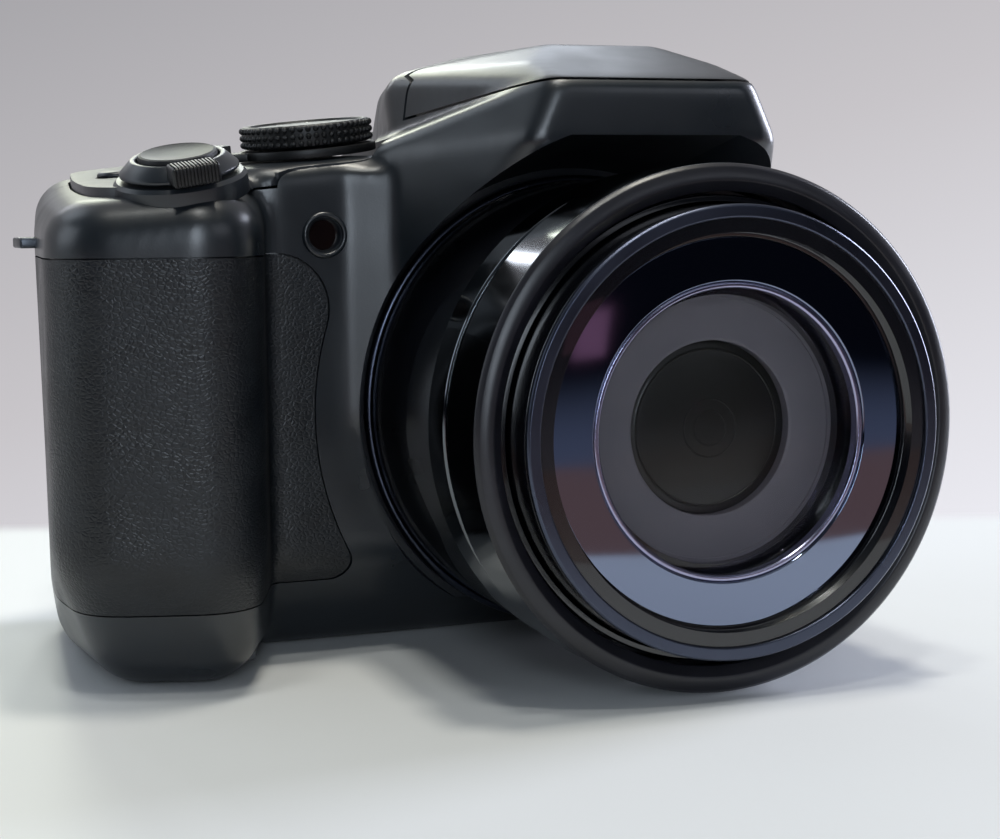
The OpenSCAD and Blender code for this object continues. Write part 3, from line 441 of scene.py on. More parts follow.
def leatherRubber():  # moulded rubber with a leather grain: small creased pads, a broken sheen
    mat = principled("leather-grain rubber", "#15181b", 0.42, {"Specular IOR Level": 0.5})
    tree = mat.node_tree
    shades(mat, 6, "#0c0f13", "#13171c")
    pads = result(tree, "TexVoronoi", {"feature": "DISTANCE_TO_EDGE", "Scale": 1, "Randomness": 1,
                                       "Vector": cellsOf(mat, 0.62, (0.8, 0.8, 1))})
    crease = result(tree, "MapRange", {"From Max": 0.25, "Value": pads})
    rumple = noiseOf(mat, 1.2, 4, (0.7, 0.7, 1))
    relief(mat, result(tree, "Math", {"operation": "MULTIPLY_ADD", 0: rumple, 1: 2.2, 2: crease}), 0.035)
    return drift(mat, 7, 0.32, 0.46)


def lacquer(name, colour, rough, coat):  # deep gloss with a faint ripple
    layer = {"Coat Weight": coat, "Coat Roughness": 0.03, "Specular IOR Level": 0.6}
    mat = principled(name, colour, rough, layer)
    return drift(mat, 20, rough * 0.85, rough * 1.2)


def metal(name, colour, rough):  # a faint grain and an uneven sheen
    mat = principled(name, colour, rough, {"Metallic": 1})
    relief(mat, noiseOf(mat, 0.4, 3), 0.002)
    return drift(mat, 5, rough * 0.8, rough * 1.25)


def clearGlass(name, colour, alpha):  # thin coated glass: what lies behind shows through a faint sheen
    mat = principled(name, colour, 0.03, {"Alpha": alpha, "IOR": 1.6, "Specular Tint": linear("#d9d2ee")})
    return drift(mat, 12, 0.02, 0.05)


def darkMirror(name, colour, rough):  # plated and polished: the room shows in it, only dimmer
    return drift(principled(name, colour, rough, {"Metallic": 1}), 18, rough * 0.8, rough * 1.3)


def paint(name, colour, rough):  # printed marks
    return drift(principled(name, colour, rough), 2, rough - 0.05, rough + 0.1)


slotMaterials = {
    "body_plastic": moulded("spark-eroded ABS", "#11161b", "#161c22", 0.32, 0.32, 0.008, 0.8),
    "panel_plastic": moulded("fine-grained ABS", "#12171c", "#181e25", 0.34, 0.26, 0.006, 0.7),
    "grip_rubber": leatherRubber(),
    "soft_rubber": moulded("soft rubber", "#0e0f11", "#151619", 0.62, 0.5, 0.02),  # dull and dark
    "barrel_gloss": lacquer("piano-black barrel", "#06070c", 0.22, 0.7),
    "polished_band": darkMirror("black chrome", "#6a6e72", 0.09),
    "ring_satin": moulded("satin anodised ring", "#16161b", "#1e1e25", 0.32, 0.3, 0.002),
    "name_gloss": darkMirror("mirror-black ring", "#7d869c", 0.05),
    "front_glass": clearGlass("coated front glass", "#08080b", 0.12),
    "inner_glass": lacquer("olive inner lens", "#13140f", 0.34, 0.0),
    "baffle_grey": moulded("purplish-grey baffle", "#67646c", "#706c74", 0.6, 0.3, 0.004),
    "cell_black": moulded("blackened alloy", "#0e0f11", "#141518", 0.45, 0.4, 0.006),
    "control_black": moulded("black control plastic", "#08090b", "#0d0f11", 0.44, 0.25, 0.005),
    "button_grey": moulded("matt shutter cap", "#0c0e10", "#131619", 0.5, 0.3, 0.004),
    "frame_alloy": metal("diecast alloy", "#8a8d92", 0.45),
    "steel": metal("plated steel", "#b9bcc0", 0.28),
    "amber_window": lacquer("amber lamp window", "#150b09", 0.12, 0.8),
    "screen_glass": lacquer("display glass", "#060708", 0.06, 1.0),
    "screen_panel": lacquer("display layers", "#10161d", 0.2, 0.4),
    "circuit_board": moulded("green circuit board", "#134a29", "#1c6238", 0.5, 0.8, 0.02),
    "cell_case": moulded("battery case", "#24272c", "#2d3036", 0.45, 0.5, 0.01),
    "lamp_diffuser": moulded("ribbed diffuser", "#c9cbc6", "#dcdeda", 0.35, 0.6, 0.03),
}
bezelAlloy = metal("lavender anodised bezel", "#a6a6c2", 0.2)
slateRim = darkMirror("slate anodised rim", "#4e5362", 0.28)
darkSteel = metal("blackened steel", "#46494e", 0.36)  # strap lugs and hinge pins
whiteInk = paint("white paint", "#e6e6e2", 0.5)
redInk = paint("red paint", "#a3201c", 0.45)


def settled(piece, body, slot, *nodes, mat=None):  # finish, material, body and the solids that it stands for
    pick(piece)
    bpy.ops.object.shade_smooth_by_angle(angle=math.radians(35))
    piece.data.materials.clear()
    piece.data.materials.append(mat or slotMaterials[slot])
    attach(piece, body)
    if nodes:
        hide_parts(*nodes)
    return piece


for part in frame["record"]["subparts"]:
    solid = frame["nodes"][part["node"]]
    solid.data.materials.clear()
    hinge = part["node"] in ("door_hinge_pin", "flash_hinge_pin")
    solid.data.materials.append(darkSteel if hinge else slotMaterials[part["material_slot"]])
print("materials made:", len(slotMaterials))


# Body: the same forms as the solids, melted together and cut into its mouldings

bodySizes = {  # mm, from the tripod socket and the lens axis
    "gripLeft": 87, "gripNose": 48, "gripInner": 57, "front": 26, "rear": 25, "right": 43.2,
    "shoulder": 70, "hoodFront": 49.6, "hoodHalf": 21.2, "top": 94.3, "topHalf": 12.8, "lidSeam": 87.7,
    "lidRear": 16, "lidSlope": 0.136, "hingeDrop": 3, "lidTrough": 3.76, "finderRear": 38, "finderHalf": 20,
    "finderLow": 62, "panel": 77.2, "panelSide": 5.6, "panelFront": 3.5, "dialX": -42.6, "dialY": -13,
    "wall": 2, "seam": 2, "rubberLow": 12.2, "rubberHigh": 62.4, "rubberThick": 1.1, "rubberRear": -4,
    "rubberRound": (8.5, 3),  # at the upper and the lower inner corner
    "plateEdge": 1.3,  # how far the top plate stands out of the covers
    "lugPlace": 10.6, "lug": 1.5, "lugHalf": 1.3, "lugFoot": 76, "lugPost": (-17.5, -15.7),  # flash hinge
}
lensSizes = {  # mm; heights run forward from the socket along the lens axis
    "axis": 37.6, "barrel": 35.3, "ring": 37.0, "front": 72, "floor": 17.4, "roof": 79.2,
    "well": 37.5, "wellSpread": 0.195, "bore": 34.4, "seat": 35.0, "flange": 13.6, "ringBack": 69.6,
    "bandRear": (50, 55.5), "bandFront": (59.2, 69.6), "camBore": 33.1, "middle": (31.8, 32.7),
    "middleSpan": (26, 68.4), "stage": 31.4, "stageBack": 34, "rim": 75.6, "thread": 27.5, "threadTop": 75,
    "threadBottom": 73, "nameRing": 26.9, "nameBack": 71.8, "glass": 19.9, "bezel": 0.9, "lensEdge": 20.4,
    "lensRim": 71, "cell": 69, "ledge": 67.2, "baffleDepth": 0.6, "innerLens": 12,
}
grain = 0.75  # size of the melted form's cells
hairline = 0.22  # open seam between two mouldings
fitRoom, glassRoom, keyRoom = 0.1, 0.15, 0.3  # round fitted pieces, the display and what moves
panelRoom, lidRoom = 0.35, 0.5
panelTilt = math.radians(bodySizes["panelSide"]), math.radians(bodySizes["panelFront"])
panelRise = math.tan(panelTilt[0]), math.tan(panelTilt[1]) / math.cos(panelTilt[0])  # along X and along Y


def panelHeight(x, y):
    b = bodySizes
    return b["panel"] + panelRise[0] * (x - b["dialX"]) + panelRise[1] * (y - b["dialY"])


def belowPanel(x, y, radius, edge, drop=0):  # a ring that touches the panel's plane from below
    lean = math.hypot(*panelRise)
    height = panelHeight(x, y) - drop - (radius - edge) * lean - edge * math.hypot(1, lean)
    return [x, y, height, radius, edge]


def onBoth(rings):
    return rings + [[-x, y, z, r, e] for x, y, z, r, e in rings]


def gripRings(drop):
    b = bodySizes
    left, nose, inner, rear = -b["gripLeft"], -b["gripNose"], -b["gripInner"], b["rear"]
    crown = [[left + 11, nose + 14.5, 10.8], [inner - 9, nose + 9, 9], [left + 13.4, -10, 11],
             [left + 14.4, rear - 8, 8], [inner + 2, rear - 8, 8], [inner + 1, -12, 6]]
    belly = [[left + 10.8, nose + 16, 10.8], [inner - 9, nose + 11, 9]]
    toe = [[left + 13.5, nose + 20.5, 8.5], [inner - 8, nose + 17.4, 8.5], [left + 14.6, -10, 11],
           [left + 15, rear - 8, 8], [inner + 2, rear - 8, 8], [inner + 1, -12, 6]]
    rings = [[x, y, min(9, r), r, min(9, r)] for x, y, r in toe]
    rings += [[x, y, 21, r, 9] for x, y, r in belly]
    return rings + [belowPanel(x, y, r, min(6.5, r), drop) for x, y, r in crown]


def blockRings():
    b = bodySizes
    left, right, front, rear = 7 - b["gripInner"], b["right"] - 8, 8 - b["front"], b["rear"] - 8
    top = b["shoulder"] - 6
    return [belowPanel(left, front, 8, 2.6), belowPanel(b["dialX"] + 8, front, 8, 2.6),
            [right, front, top, 8, 6], belowPanel(left, rear, 8, 2.6), [right, rear, top, 8, 6],
            [left, front, 18, 8, 6], [right, front, 18, 8, 6], [left, front + 11, 6, 8, 6],
            [right, front + 11, 6, 8, 6], [left, rear, 6, 8, 6], [right, rear, 6, 8, 6]]


def hoodRings():
    b = bodySizes
    nose, half, side = 4 - b["hoodFront"], b["hoodHalf"], lensSizes["barrel"] - 2.3
    low = lensSizes["axis"] + 8
    brow = panelHeight(-side, -b["front"]) - 1
    eaves = [[half - 4, nose, lensSizes["roof"] - 0.6, 4, 2], [half - 7.2, nose, b["lidSeam"] - 2, 4, 2],
             [side, b["rear"] - 8, 60, 5, 4], [side, b["rear"] - 8, b["shoulder"] + 2, 5, 4]]
    cheeks = [[-side, 4 - b["front"], low, 4, 2], [-side, 4 - b["front"], brow, 4, 2],
              [side - 5, 8 - b["front"], low, 4, 2], [side - 5, 8 - b["front"], b["shoulder"] + 1, 4, 2]]
    return onBoth(eaves) + cheeks


def humpRings():
    b = bodySizes
    top, half, side, finder = b["top"], b["topHalf"], lensSizes["barrel"] - 2.3, b["finderHalf"]
    back = b["finderRear"] - 3
    return onBoth([[b["hoodHalf"] - 6.4, 4 - b["hoodFront"], b["lidSeam"] - 2.4, 3, 3],
                   [half + 1.9, -38, top - 6.1, 2.3, 2.3],
                   [half - 4.1, -29.5, top - 2.8, 2.3, 2.3], [half - 2.3, 4, top - 2.3, 2.3, 2.3],
                   [half + 11.8, -10, top - 7.7, 4.2, 4.2], [half + 8, 6, top - 8.5, 4.2, 4.2],
                   [side - 8.2, -13, top - 15, 4, 4], [side - 13, 10, top - 15, 4, 4],
                   [finder - 3, b["rear"] - 6, top - 17, 4, 4], [finder - 8.5, back, top - 9.3, 3, 3],
                   [finder - 3, back, b["finderLow"] + 3, 3, 3], [finder - 3, 0, b["finderLow"] + 3, 3, 3]])


def filletRings():  # eases the hollow where the hood leaves the front
    front, foot = bodySizes["front"], lensSizes["axis"] - 0.6
    brow = panelHeight(-34, -front) - 3
    edges = ((-40.8, 1.1), (-33.6, -1.5), (-36, 8))  # X, and Y from the front
    return [[x, y - front, z, 1, 1] for z in (brow, foot) for x, y in edges]


def meltedForm(name, ringLists, inset, cell, rounds):  # hulls joined, remade in even cells and smoothed
    form = hullOver(name, ringLists[0], inset)
    for rings in ringLists[1:]:
        other = hullOver(name + "Part", rings, inset)
        joinedBy(form, other, "UNION")
        discard(other)
    applied(form, "REMESH", mode="VOXEL", voxel_size=cell * mm)
    return applied(form, "SMOOTH", factor=0.5, iterations=rounds)


lensFrame = at((0, 0, lensSizes["axis"]), forward)


def tilted(side, front):
    return Matrix.Rotation(-side, 4, "Y") @ Matrix.Rotation(front, 4, "X")


def panelFrame(x, y):
    return at((x, y, panelHeight(x, y)), tilted(*panelTilt))


topControls = {  # mm, heights above the panel or the shutter's plate
    "shutter": (-68, -36.8), "shutterHeight": 74.047, "shutterSide": 8.8, "shutterFront": 12.7,
    "lever": 8.4, "leverLow": 0.3, "leverTop": 2.7, "button": 5.6, "buttonLow": 2.2, "buttonTop": 3.3,
    "tab": 6.8, "tabReach": 10.8, "tabTop": 3.4, "ribs": 14, "groove": 0.12,
    "dial": 10.3, "dialLow": 1.9, "dialTop": 5.3, "beads": 52, "bead": 0.5,
    "power": 10.6, "powerLow": 0.3, "powerTop": 1.6, "powerReach": 15.7, "knob": 3.0,
    "keys": ((-64.5, -14), (-72.5, -12)), "keyHole": 3.1, "keyWell": 3.6, "keyDepth": 9, "boss": 9.5,
    "ticks": 10, "redDot": 0.9,
}
rearKeys = ["set_button", "cursor_up", "cursor_down", "cursor_left", "cursor_right",
            "play_button", "menu_button", "display_button", "lock_button"]


def shutterSpot():
    c = topControls
    turn = tilted(math.radians(c["shutterSide"]), math.radians(c["shutterFront"]))
    return at((*c["shutter"], c["shutterHeight"]), turn)


def lensWell(grow, drop):
    s = lensSizes
    far = bodySizes["hoodFront"] + 8
    mouth = s["well"] + s["wellSpread"] * (far - s["floor"])
    well = turned("lensWell", [(0, s["floor"] - drop), (s["well"] + grow, s["floor"] - drop),
                               (mouth + grow, far), (0, far)], 160)
    placed(well, lensFrame)
    edit(well)
    roof = (0, 0, (s["roof"] + grow) * mm)
    bpy.ops.mesh.bisect(plane_co=roof, plane_no=(0, 0, 1), clear_outer=True, use_fill=True)
    return done()


def grown(outline, by):  # an outline moved out by a distance, its corners kept
    count = len(outline)
    area = sum(outline[i - 1][0] * outline[i][1] - outline[i][0] * outline[i - 1][1] for i in range(count))
    sign = 1 if area > 0 else -1
    moved = []
    for i in range(count):
        before = (Vector(outline[i]) - Vector(outline[i - 1])).normalized()
        after = (Vector(outline[(i + 1) % count]) - Vector(outline[i])).normalized()
        first, second = Vector((before.y, -before.x)) * sign, Vector((after.y, -after.x)) * sign
        corner = (first + second) / (1 + first.dot(second))
        moved.append(tuple(Vector(outline[i]) + corner * by))
    return moved


def roundedCorners(outline, reach, count):  # each corner becomes a short curve
    points = []
    for i in range(len(outline)):
        before, corner, after = (Vector(outline[k % len(outline)]) for k in (i - 1, i, i + 1))
        start = corner + (before - corner).normalized() * min(reach, (before - corner).length * 0.45)
        end = corner + (after - corner).normalized() * min(reach, (after - corner).length * 0.45)
        for k in range(count + 1):
            t = k / count
            points.append(tuple(start * (1 - t) ** 2 + corner * 2 * t * (1 - t) + end * t ** 2))
    return points


def panelTool(grow, depth):
    b = bodySizes
    left, nose, inner = -b["gripLeft"], -b["gripNose"], -b["gripInner"]
    edge, lip, rear = b["dialX"] + 11.1, 1.2 - b["front"], b["rear"] - 12
    outline = [(left + 11.5, rear), (left + 8, -12), (left + 7, nose + 17), (left + 11, nose + 8),
               (inner - 10, nose + 3.5), (inner - 3.6, nose + 6.2), (inner - 1.4, nose + 15.5),
               (inner + 4, lip), (edge, lip), (edge, rear)]
    tool = prism("panelTool", roundedCorners(grown(outline, grow), 7, 8), 60, 110)  # past the panel both ways
    edit(tool)
    sheet = panelFrame(b["dialX"], b["dialY"]) @ Matrix.Translation((0, 0, -depth * mm))
    normal = sheet.col[2].xyz
    bpy.ops.mesh.bisect(plane_co=sheet.translation, plane_no=normal, clear_inner=True, use_fill=True)
    return done()


def hingeRod(name, radius, half):
    hinge = (0, -bodySizes["lidRear"], bodySizes["top"] - bodySizes["hingeDrop"])
    return placed(cylinder(name, radius, -half, half, 64), at(hinge, sideways))


def lidTool(grow, rodRadius):
    b = bodySizes
    rear, front, above, wide = grow - b["lidRear"], -70, 120, 60  # the last three lie past the body

    def seam(y):
        return b["lidSeam"] - b["lidSlope"] * (y + b["hoodFront"]) - grow

    outline = [(front, seam(front)), (rear, seam(rear - grow)), (rear, above), (front, above)]
    tool = prism("lidTool", outline, -wide, wide)
    placed(tool, Matrix(((0, 0, 1), (1, 0, 0), (0, 1, 0))).to_4x4())
    rod = hingeRod("lidRod", rodRadius, b["topHalf"] + 13.2 + grow)
    joinedBy(tool, rod, "UNION")
    discard(rod)
    return tool


def hingeLugs(grow):  # the two lugs that carry the flash hinge, on their posts
    b = bodySizes
    half, (front, back) = b["lugHalf"] + grow, b["lugPost"]
    lugs = []
    for x in (-b["lugPlace"], b["lugPlace"]):
        lug = hingeRod("hingeLug", b["lug"] + grow, half)
        top = (half, back + grow, b["top"] - b["hingeDrop"])
        post = blockBetween("lugPost", (-half, front - grow, b["lugFoot"]), top)
        joinedBy(lug, post, "UNION")
        discard(post)
        lugs.append(placed(lug, Matrix.Translation((x * mm, 0, 0))))
    return lugs


def arc(centre, radius, start, end, count):  # points on a circle, angles in degrees
    angles = [math.radians(start + (end - start) * i / count) for i in range(count + 1)]
    return [(centre[0] + radius * math.cos(a), centre[1] + radius * math.sin(a)) for a in angles]


def rubberTool(grow):  # seen from the front: level edges, a hollow side round the barrel, rounded corners
    b, axis = bodySizes, lensSizes["axis"]
    reach = lensSizes["well"] + lensSizes["wellSpread"] * (b["front"] - lensSizes["floor"]) + 7 - grow
    low, high = b["rubberLow"] - grow, b["rubberHigh"] + grow
    upper, lower = b["rubberRound"]
    over, under = high - upper - axis, low + lower - axis
    upperTurn = 180 - math.degrees(math.asin(over / (reach + upper)))
    lowerTurn = 180 - math.degrees(math.asin(under / (reach + lower)))
    upperSpot = (-math.sqrt((reach + upper) ** 2 - over ** 2), axis + over)
    lowerSpot = (-math.sqrt((reach + lower) ** 2 - under ** 2), axis + under)
    outline = [(-100, low)] + arc(lowerSpot, lower, -90, lowerTurn - 180, 8)
    outline += arc((0, axis), reach, lowerTurn, upperTurn, 40)[1:-1]
    outline += arc(upperSpot, upper, upperTurn - 180, 90, 12) + [(-100, high)]
    tool = prism("rubberTool", outline, -b["rubberRear"] - grow, 60)
    return placed(tool, Matrix(((1, 0, 0), (0, 0, -1), (0, 1, 0))).to_4x4())


def rearTools(grow):  # everything that opens the rear cover: keys, display, finder, terminal door, dials
    tools = []
    rear = bodySizes["rear"]
    for node in rearKeys:
        low, high, middle = boxOf(node)
        key = cylinder("keyTool", (high.x - low.x) / 2 + grow, -4, 6)
        tools.append(placed(key, at((middle.x, rear, middle.z), rearward)))
    windows = {  # room round the piece, and where the opening starts and ends
        "display_glass": (glassRoom, rear - 5, 40),
        "eyepiece_lens": (fitRoom, 30, 45),
    }
    for node, (room, start, end) in windows.items():
        low, high = boxOf(node)[:2]
        tools.append(blockBetween("windowTool", (low.x - room, start, low.z - room),
                                  (high.x + room, end, high.z + room)))
    low, high = boxOf("terminal_door")[:2]
    tools.append(blockBetween("terminalTool", (low.x - 3, low.y - grow, low.z + 1.5 - grow),
                              (high.x + 5, high.y + grow, high.z - 1.5 + grow)))
    low, high, middle = boxOf("thumb_dial")
    wheel = cylinder("wheelTool", (high.x - low.x) / 2 + grow, -2 - grow, 2 + grow, 64)
    tools.append(placed(wheel, at((middle.x, middle.y, high.z - 2), Matrix())))
    low, high, middle = boxOf("dioptre_dial")
    dial = cylinder("dioptreTool", (high.z - low.z) / 2 + grow, -4, 16, 64)
    tools.append(placed(dial, at((low.x + 2, middle.y, middle.z), sideways)))
    return tools


def baseTools(grow):
    low, high = boxOf("base_cover")[:2]
    tools = [blockBetween("baseTool", (low.x - fitRoom, low.y - fitRoom, -2),
                          (high.x + fitRoom, high.y + fitRoom, high.z + fitRoom))]
    low, high = boxOf("battery_door")[:2]
    tools.append(blockBetween("doorTool", (low.x - grow, low.y - grow, -2), (high.x + 0.9, high.y + grow, 5)))
    return tools


def frontTools(grow):  # lamp window, flash key, strap lugs and the wells under the two top keys
    low, high, middle = boxOf("lamp_window")
    radius, front = (high.x - low.x) / 2, bodySizes["front"]
    outline = [(0, front - 8), (radius, front - 8), (radius, front - 0.4), (radius + 0.4, front + 0.2),
               (radius + 0.4, front + 6), (0, front + 6)]
    tools = [placed(turned("lampTool", outline, 48), at((middle.x, 0, middle.z), forward))]
    low, high, middle = boxOf("flash_button")
    hole = cylinder("flashKeyTool", (high.z - low.z) / 2 + grow, -2, 12)
    tools.append(placed(hole, at((low.x, middle.y, middle.z), sideways)))
    low, high = boxOf("strap_lugs")[:2]
    for left, right in ((low.x - 1, low.x + 8), (high.x - 8, high.x + 1)):
        tools.append(blockBetween("lugTool", (left, low.y - fitRoom, low.z - fitRoom),
                                  (right, high.y + fitRoom, high.z + fitRoom)))
    for spot in topControls["keys"]:
        well = cylinder("keyWell", topControls["keyWell"], -topControls["keyDepth"], 6)
        tools.append(placed(well, panelFrame(*spot)))
    return tools


def makeBody():
    b, s = bodySizes, lensSizes
    crown = [gripRings(0), blockRings()]
    lists = [gripRings(b["plateEdge"]), blockRings(), hoodRings(), humpRings()]
    plateForm = meltedForm("plateForm", crown, 0, grain, 6)
    outer = meltedForm("outerForm", lists + [filletRings()], 0, grain, 12)
    cavity = meltedForm("innerForm", lists, b["wall"] + 0.2, 1.2, 2)
    core = meltedForm("rubberCore", lists[:2], b["rubberThick"], 0.9, 4)
    lining = meltedForm("lidLining", lists[2:], 1.6, 1.0, 2)
    print("forms melted:", len(outer.data.polygons), "faces")

    wellSkin, well = lensWell(b["wall"], 1.6), lensWell(0, 0)
    joinedBy(cavity, wellSkin, "DIFFERENCE")
    shell = copyOf(outer, "shell")
    hole = placed(cylinder("barrelHole", s["barrel"] + fitRoom, 0, 40, 160), lensFrame)
    skinTool, panelCut = rubberTool(hairline), panelTool(panelRoom, b["wall"] + 1.4)
    lidCut = lidTool(lidRoom, b["lidTrough"])
    joinedBy(skinTool, core, "DIFFERENCE")
    tools = [cavity, well, hole, panelCut, lidCut, skinTool]
    for made in (rearTools, baseTools, frontTools):
        tools += made(keyRoom)
    for tool in tools:
        joinedBy(shell, tool, "DIFFERENCE")

    rear = copyOf(shell, "rearCover")
    seam = b["seam"] - 0.1
    halves = [blockBetween("rearHalf", (-120, seam, -20), (120, 120, 130)),
              blockBetween("frontHalf", (-120, -120, -20), (120, seam - hairline, 130))]
    joinedBy(rear, halves[0], "INTERSECT")
    joinedBy(shell, halves[1], "INTERSECT")
    shell.name = "frontCover"

    skin = copyOf(outer, "gripRubber")
    zone = rubberTool(0)
    joinedBy(zone, core, "DIFFERENCE")
    joinedBy(skin, zone, "INTERSECT")

    panel = copyOf(plateForm, "topPanel")
    panelZone = panelTool(0, b["wall"] + 1)
    joinedBy(panel, panelZone, "INTERSECT")
    wide = topControls["boss"]
    boss = turned("shutterBoss", [(0, -3), (wide, -3), (wide - 0.1, -0.5), (wide - 0.6, 0), (0, 0)], 96)
    joinedBy(panel, placed(boss, shutterSpot()), "UNION")
    keyHoles = [placed(cylinder("keyHole", topControls["keyHole"], -0.8, 4), panelFrame(*spot))
                for spot in topControls["keys"]]
    for tool in keyHoles:
        joinedBy(panel, tool, "DIFFERENCE")
    softEdges(panel, 0.35, 3, 50)

    lid = copyOf(outer, "flashLid")
    lidZone = lidTool(0, b["hingeDrop"] - 0.1)
    joinedBy(lid, lidZone, "INTERSECT")
    joinedBy(lid, lining, "DIFFERENCE")
    knuckle = hingeRod("lidKnuckle", b["hingeDrop"] - 0.3, 9)
    joinedBy(lid, knuckle, "UNION")
    lugs, lugRoom = hingeLugs(0), hingeLugs(keyRoom)
    for lug, room in zip(lugs, lugRoom):
        joinedBy(shell, lug, "UNION")
        joinedBy(lid, room, "DIFFERENCE")

    discard(plateForm, outer, core, lining, wellSkin, zone, panelZone, boss, lidZone, knuckle,
            *halves, *tools, *keyHoles, *lugs, *lugRoom)
    return shell, rear, skin, panel, lid


mouldings = [  # body, material slot and node of each piece that makeBody gives
    ("camera_body", "body_plastic", "front_cover"), ("camera_body", "body_plastic", "rear_cover"),
    ("camera_body", "grip_rubber", "grip_rubber"), ("camera_body", "panel_plastic", "control_panel"),
    ("flash_head", "body_plastic", "flash_lid"),
]
for piece, row in zip(makeBody(), mouldings):
    settled(piece, *row)
print("body cut into mouldings:", len(mouldings))


# Lens: outlines of radius and height, turned about the lens axis

def lensPiece(name, outline, body, slot, *nodes, edge=0.12, mat=None):
    piece = softEdges(ringed(name, outline, 192), edge, 2, 25)
    settled(placed(piece, lensFrame), body, slot, *nodes, mat=mat)
    return applied(piece, "WEIGHTED_NORMAL", keep_sharp=True, weight=100)  # flat faces stay flat mirrors


def trimBand(name, low, high, rear, front, node):
    inside = lensSizes["seat"] + 0.1
    outline = [(inside, low), (rear - 0.3, low), (rear, low + 0.4), (front, high - 0.4), (front - 0.3, high),
               (inside, high)]
    return lensPiece(name, outline, "camera_body", "polished_band", node, edge=0.08)


def domed(radius, edge, crown, count):  # points from the rim of a dome to its top
    shares = [1 - i / count for i in range(count + 1)]
    return [(radius * share, edge + (crown - edge) * (1 - share ** 2)) for share in shares]


def threadForm(radius, low, high, turns):  # sharp ridges between two heights
    step = (high - low) / turns / 2
    return [(radius + 0.3 * (i % 2), high - i * step) for i in range(2 * turns + 1)]


def makeLens():
    s = lensSizes
    barrel, bore, seat, floor = s["barrel"], s["bore"], s["seat"], s["floor"]
    ring, back, front, mouth = s["ring"], s["ringBack"], s["front"], s["camBore"]
    start = s["bandRear"][0]
    outline = [(bore, s["flange"]), (barrel, s["flange"]), (barrel, floor + 4), (barrel + 0.7, start),
               (seat, start), (seat, back), (bore, back)]
    lensPiece("lensBarrel", outline, "camera_body", "barrel_gloss", "fixed_barrel")
    outline = [(barrel + 0.1, floor), (barrel + 1.1, floor), (barrel + 1.1, floor + 2.4),
               (barrel + 0.6, floor + 3), (barrel + 0.1, floor + 3)]
    lensPiece("lensCollar", outline, "camera_body", "barrel_gloss", "barrel_collar", edge=0.35, mat=slateRim)
    trimBand("rearBand", *s["bandRear"], barrel + 1.2, barrel + 0.7, "barrel_band_rear")
    trimBand("frontBand", *s["bandFront"], ring - 0.1, ring - 1, "barrel_band_front")
    outline = [(mouth, back), (ring - 0.3, back), (ring, back + 0.4), (ring, front - 1.7),
               (ring - 0.5, front - 1.1), (ring - 1.5, front - 0.65), (ring - 2.4, front - 0.6),
               (ring - 2.6, front - 0.75), (mouth, front - 1.8)]
    lensPiece("frontRing", outline, "camera_body", "ring_satin", "front_ring", edge=0.15)
    (inner, outer), (low, high) = s["middle"], s["middleSpan"]
    outline = [(inner, low), (outer, low), (outer, high - 0.2), (outer - 0.2, high), (inner, high)]
    lensPiece("middleTube", outline, "middle_stage", "barrel_gloss", "middle_barrel", edge=0.06)


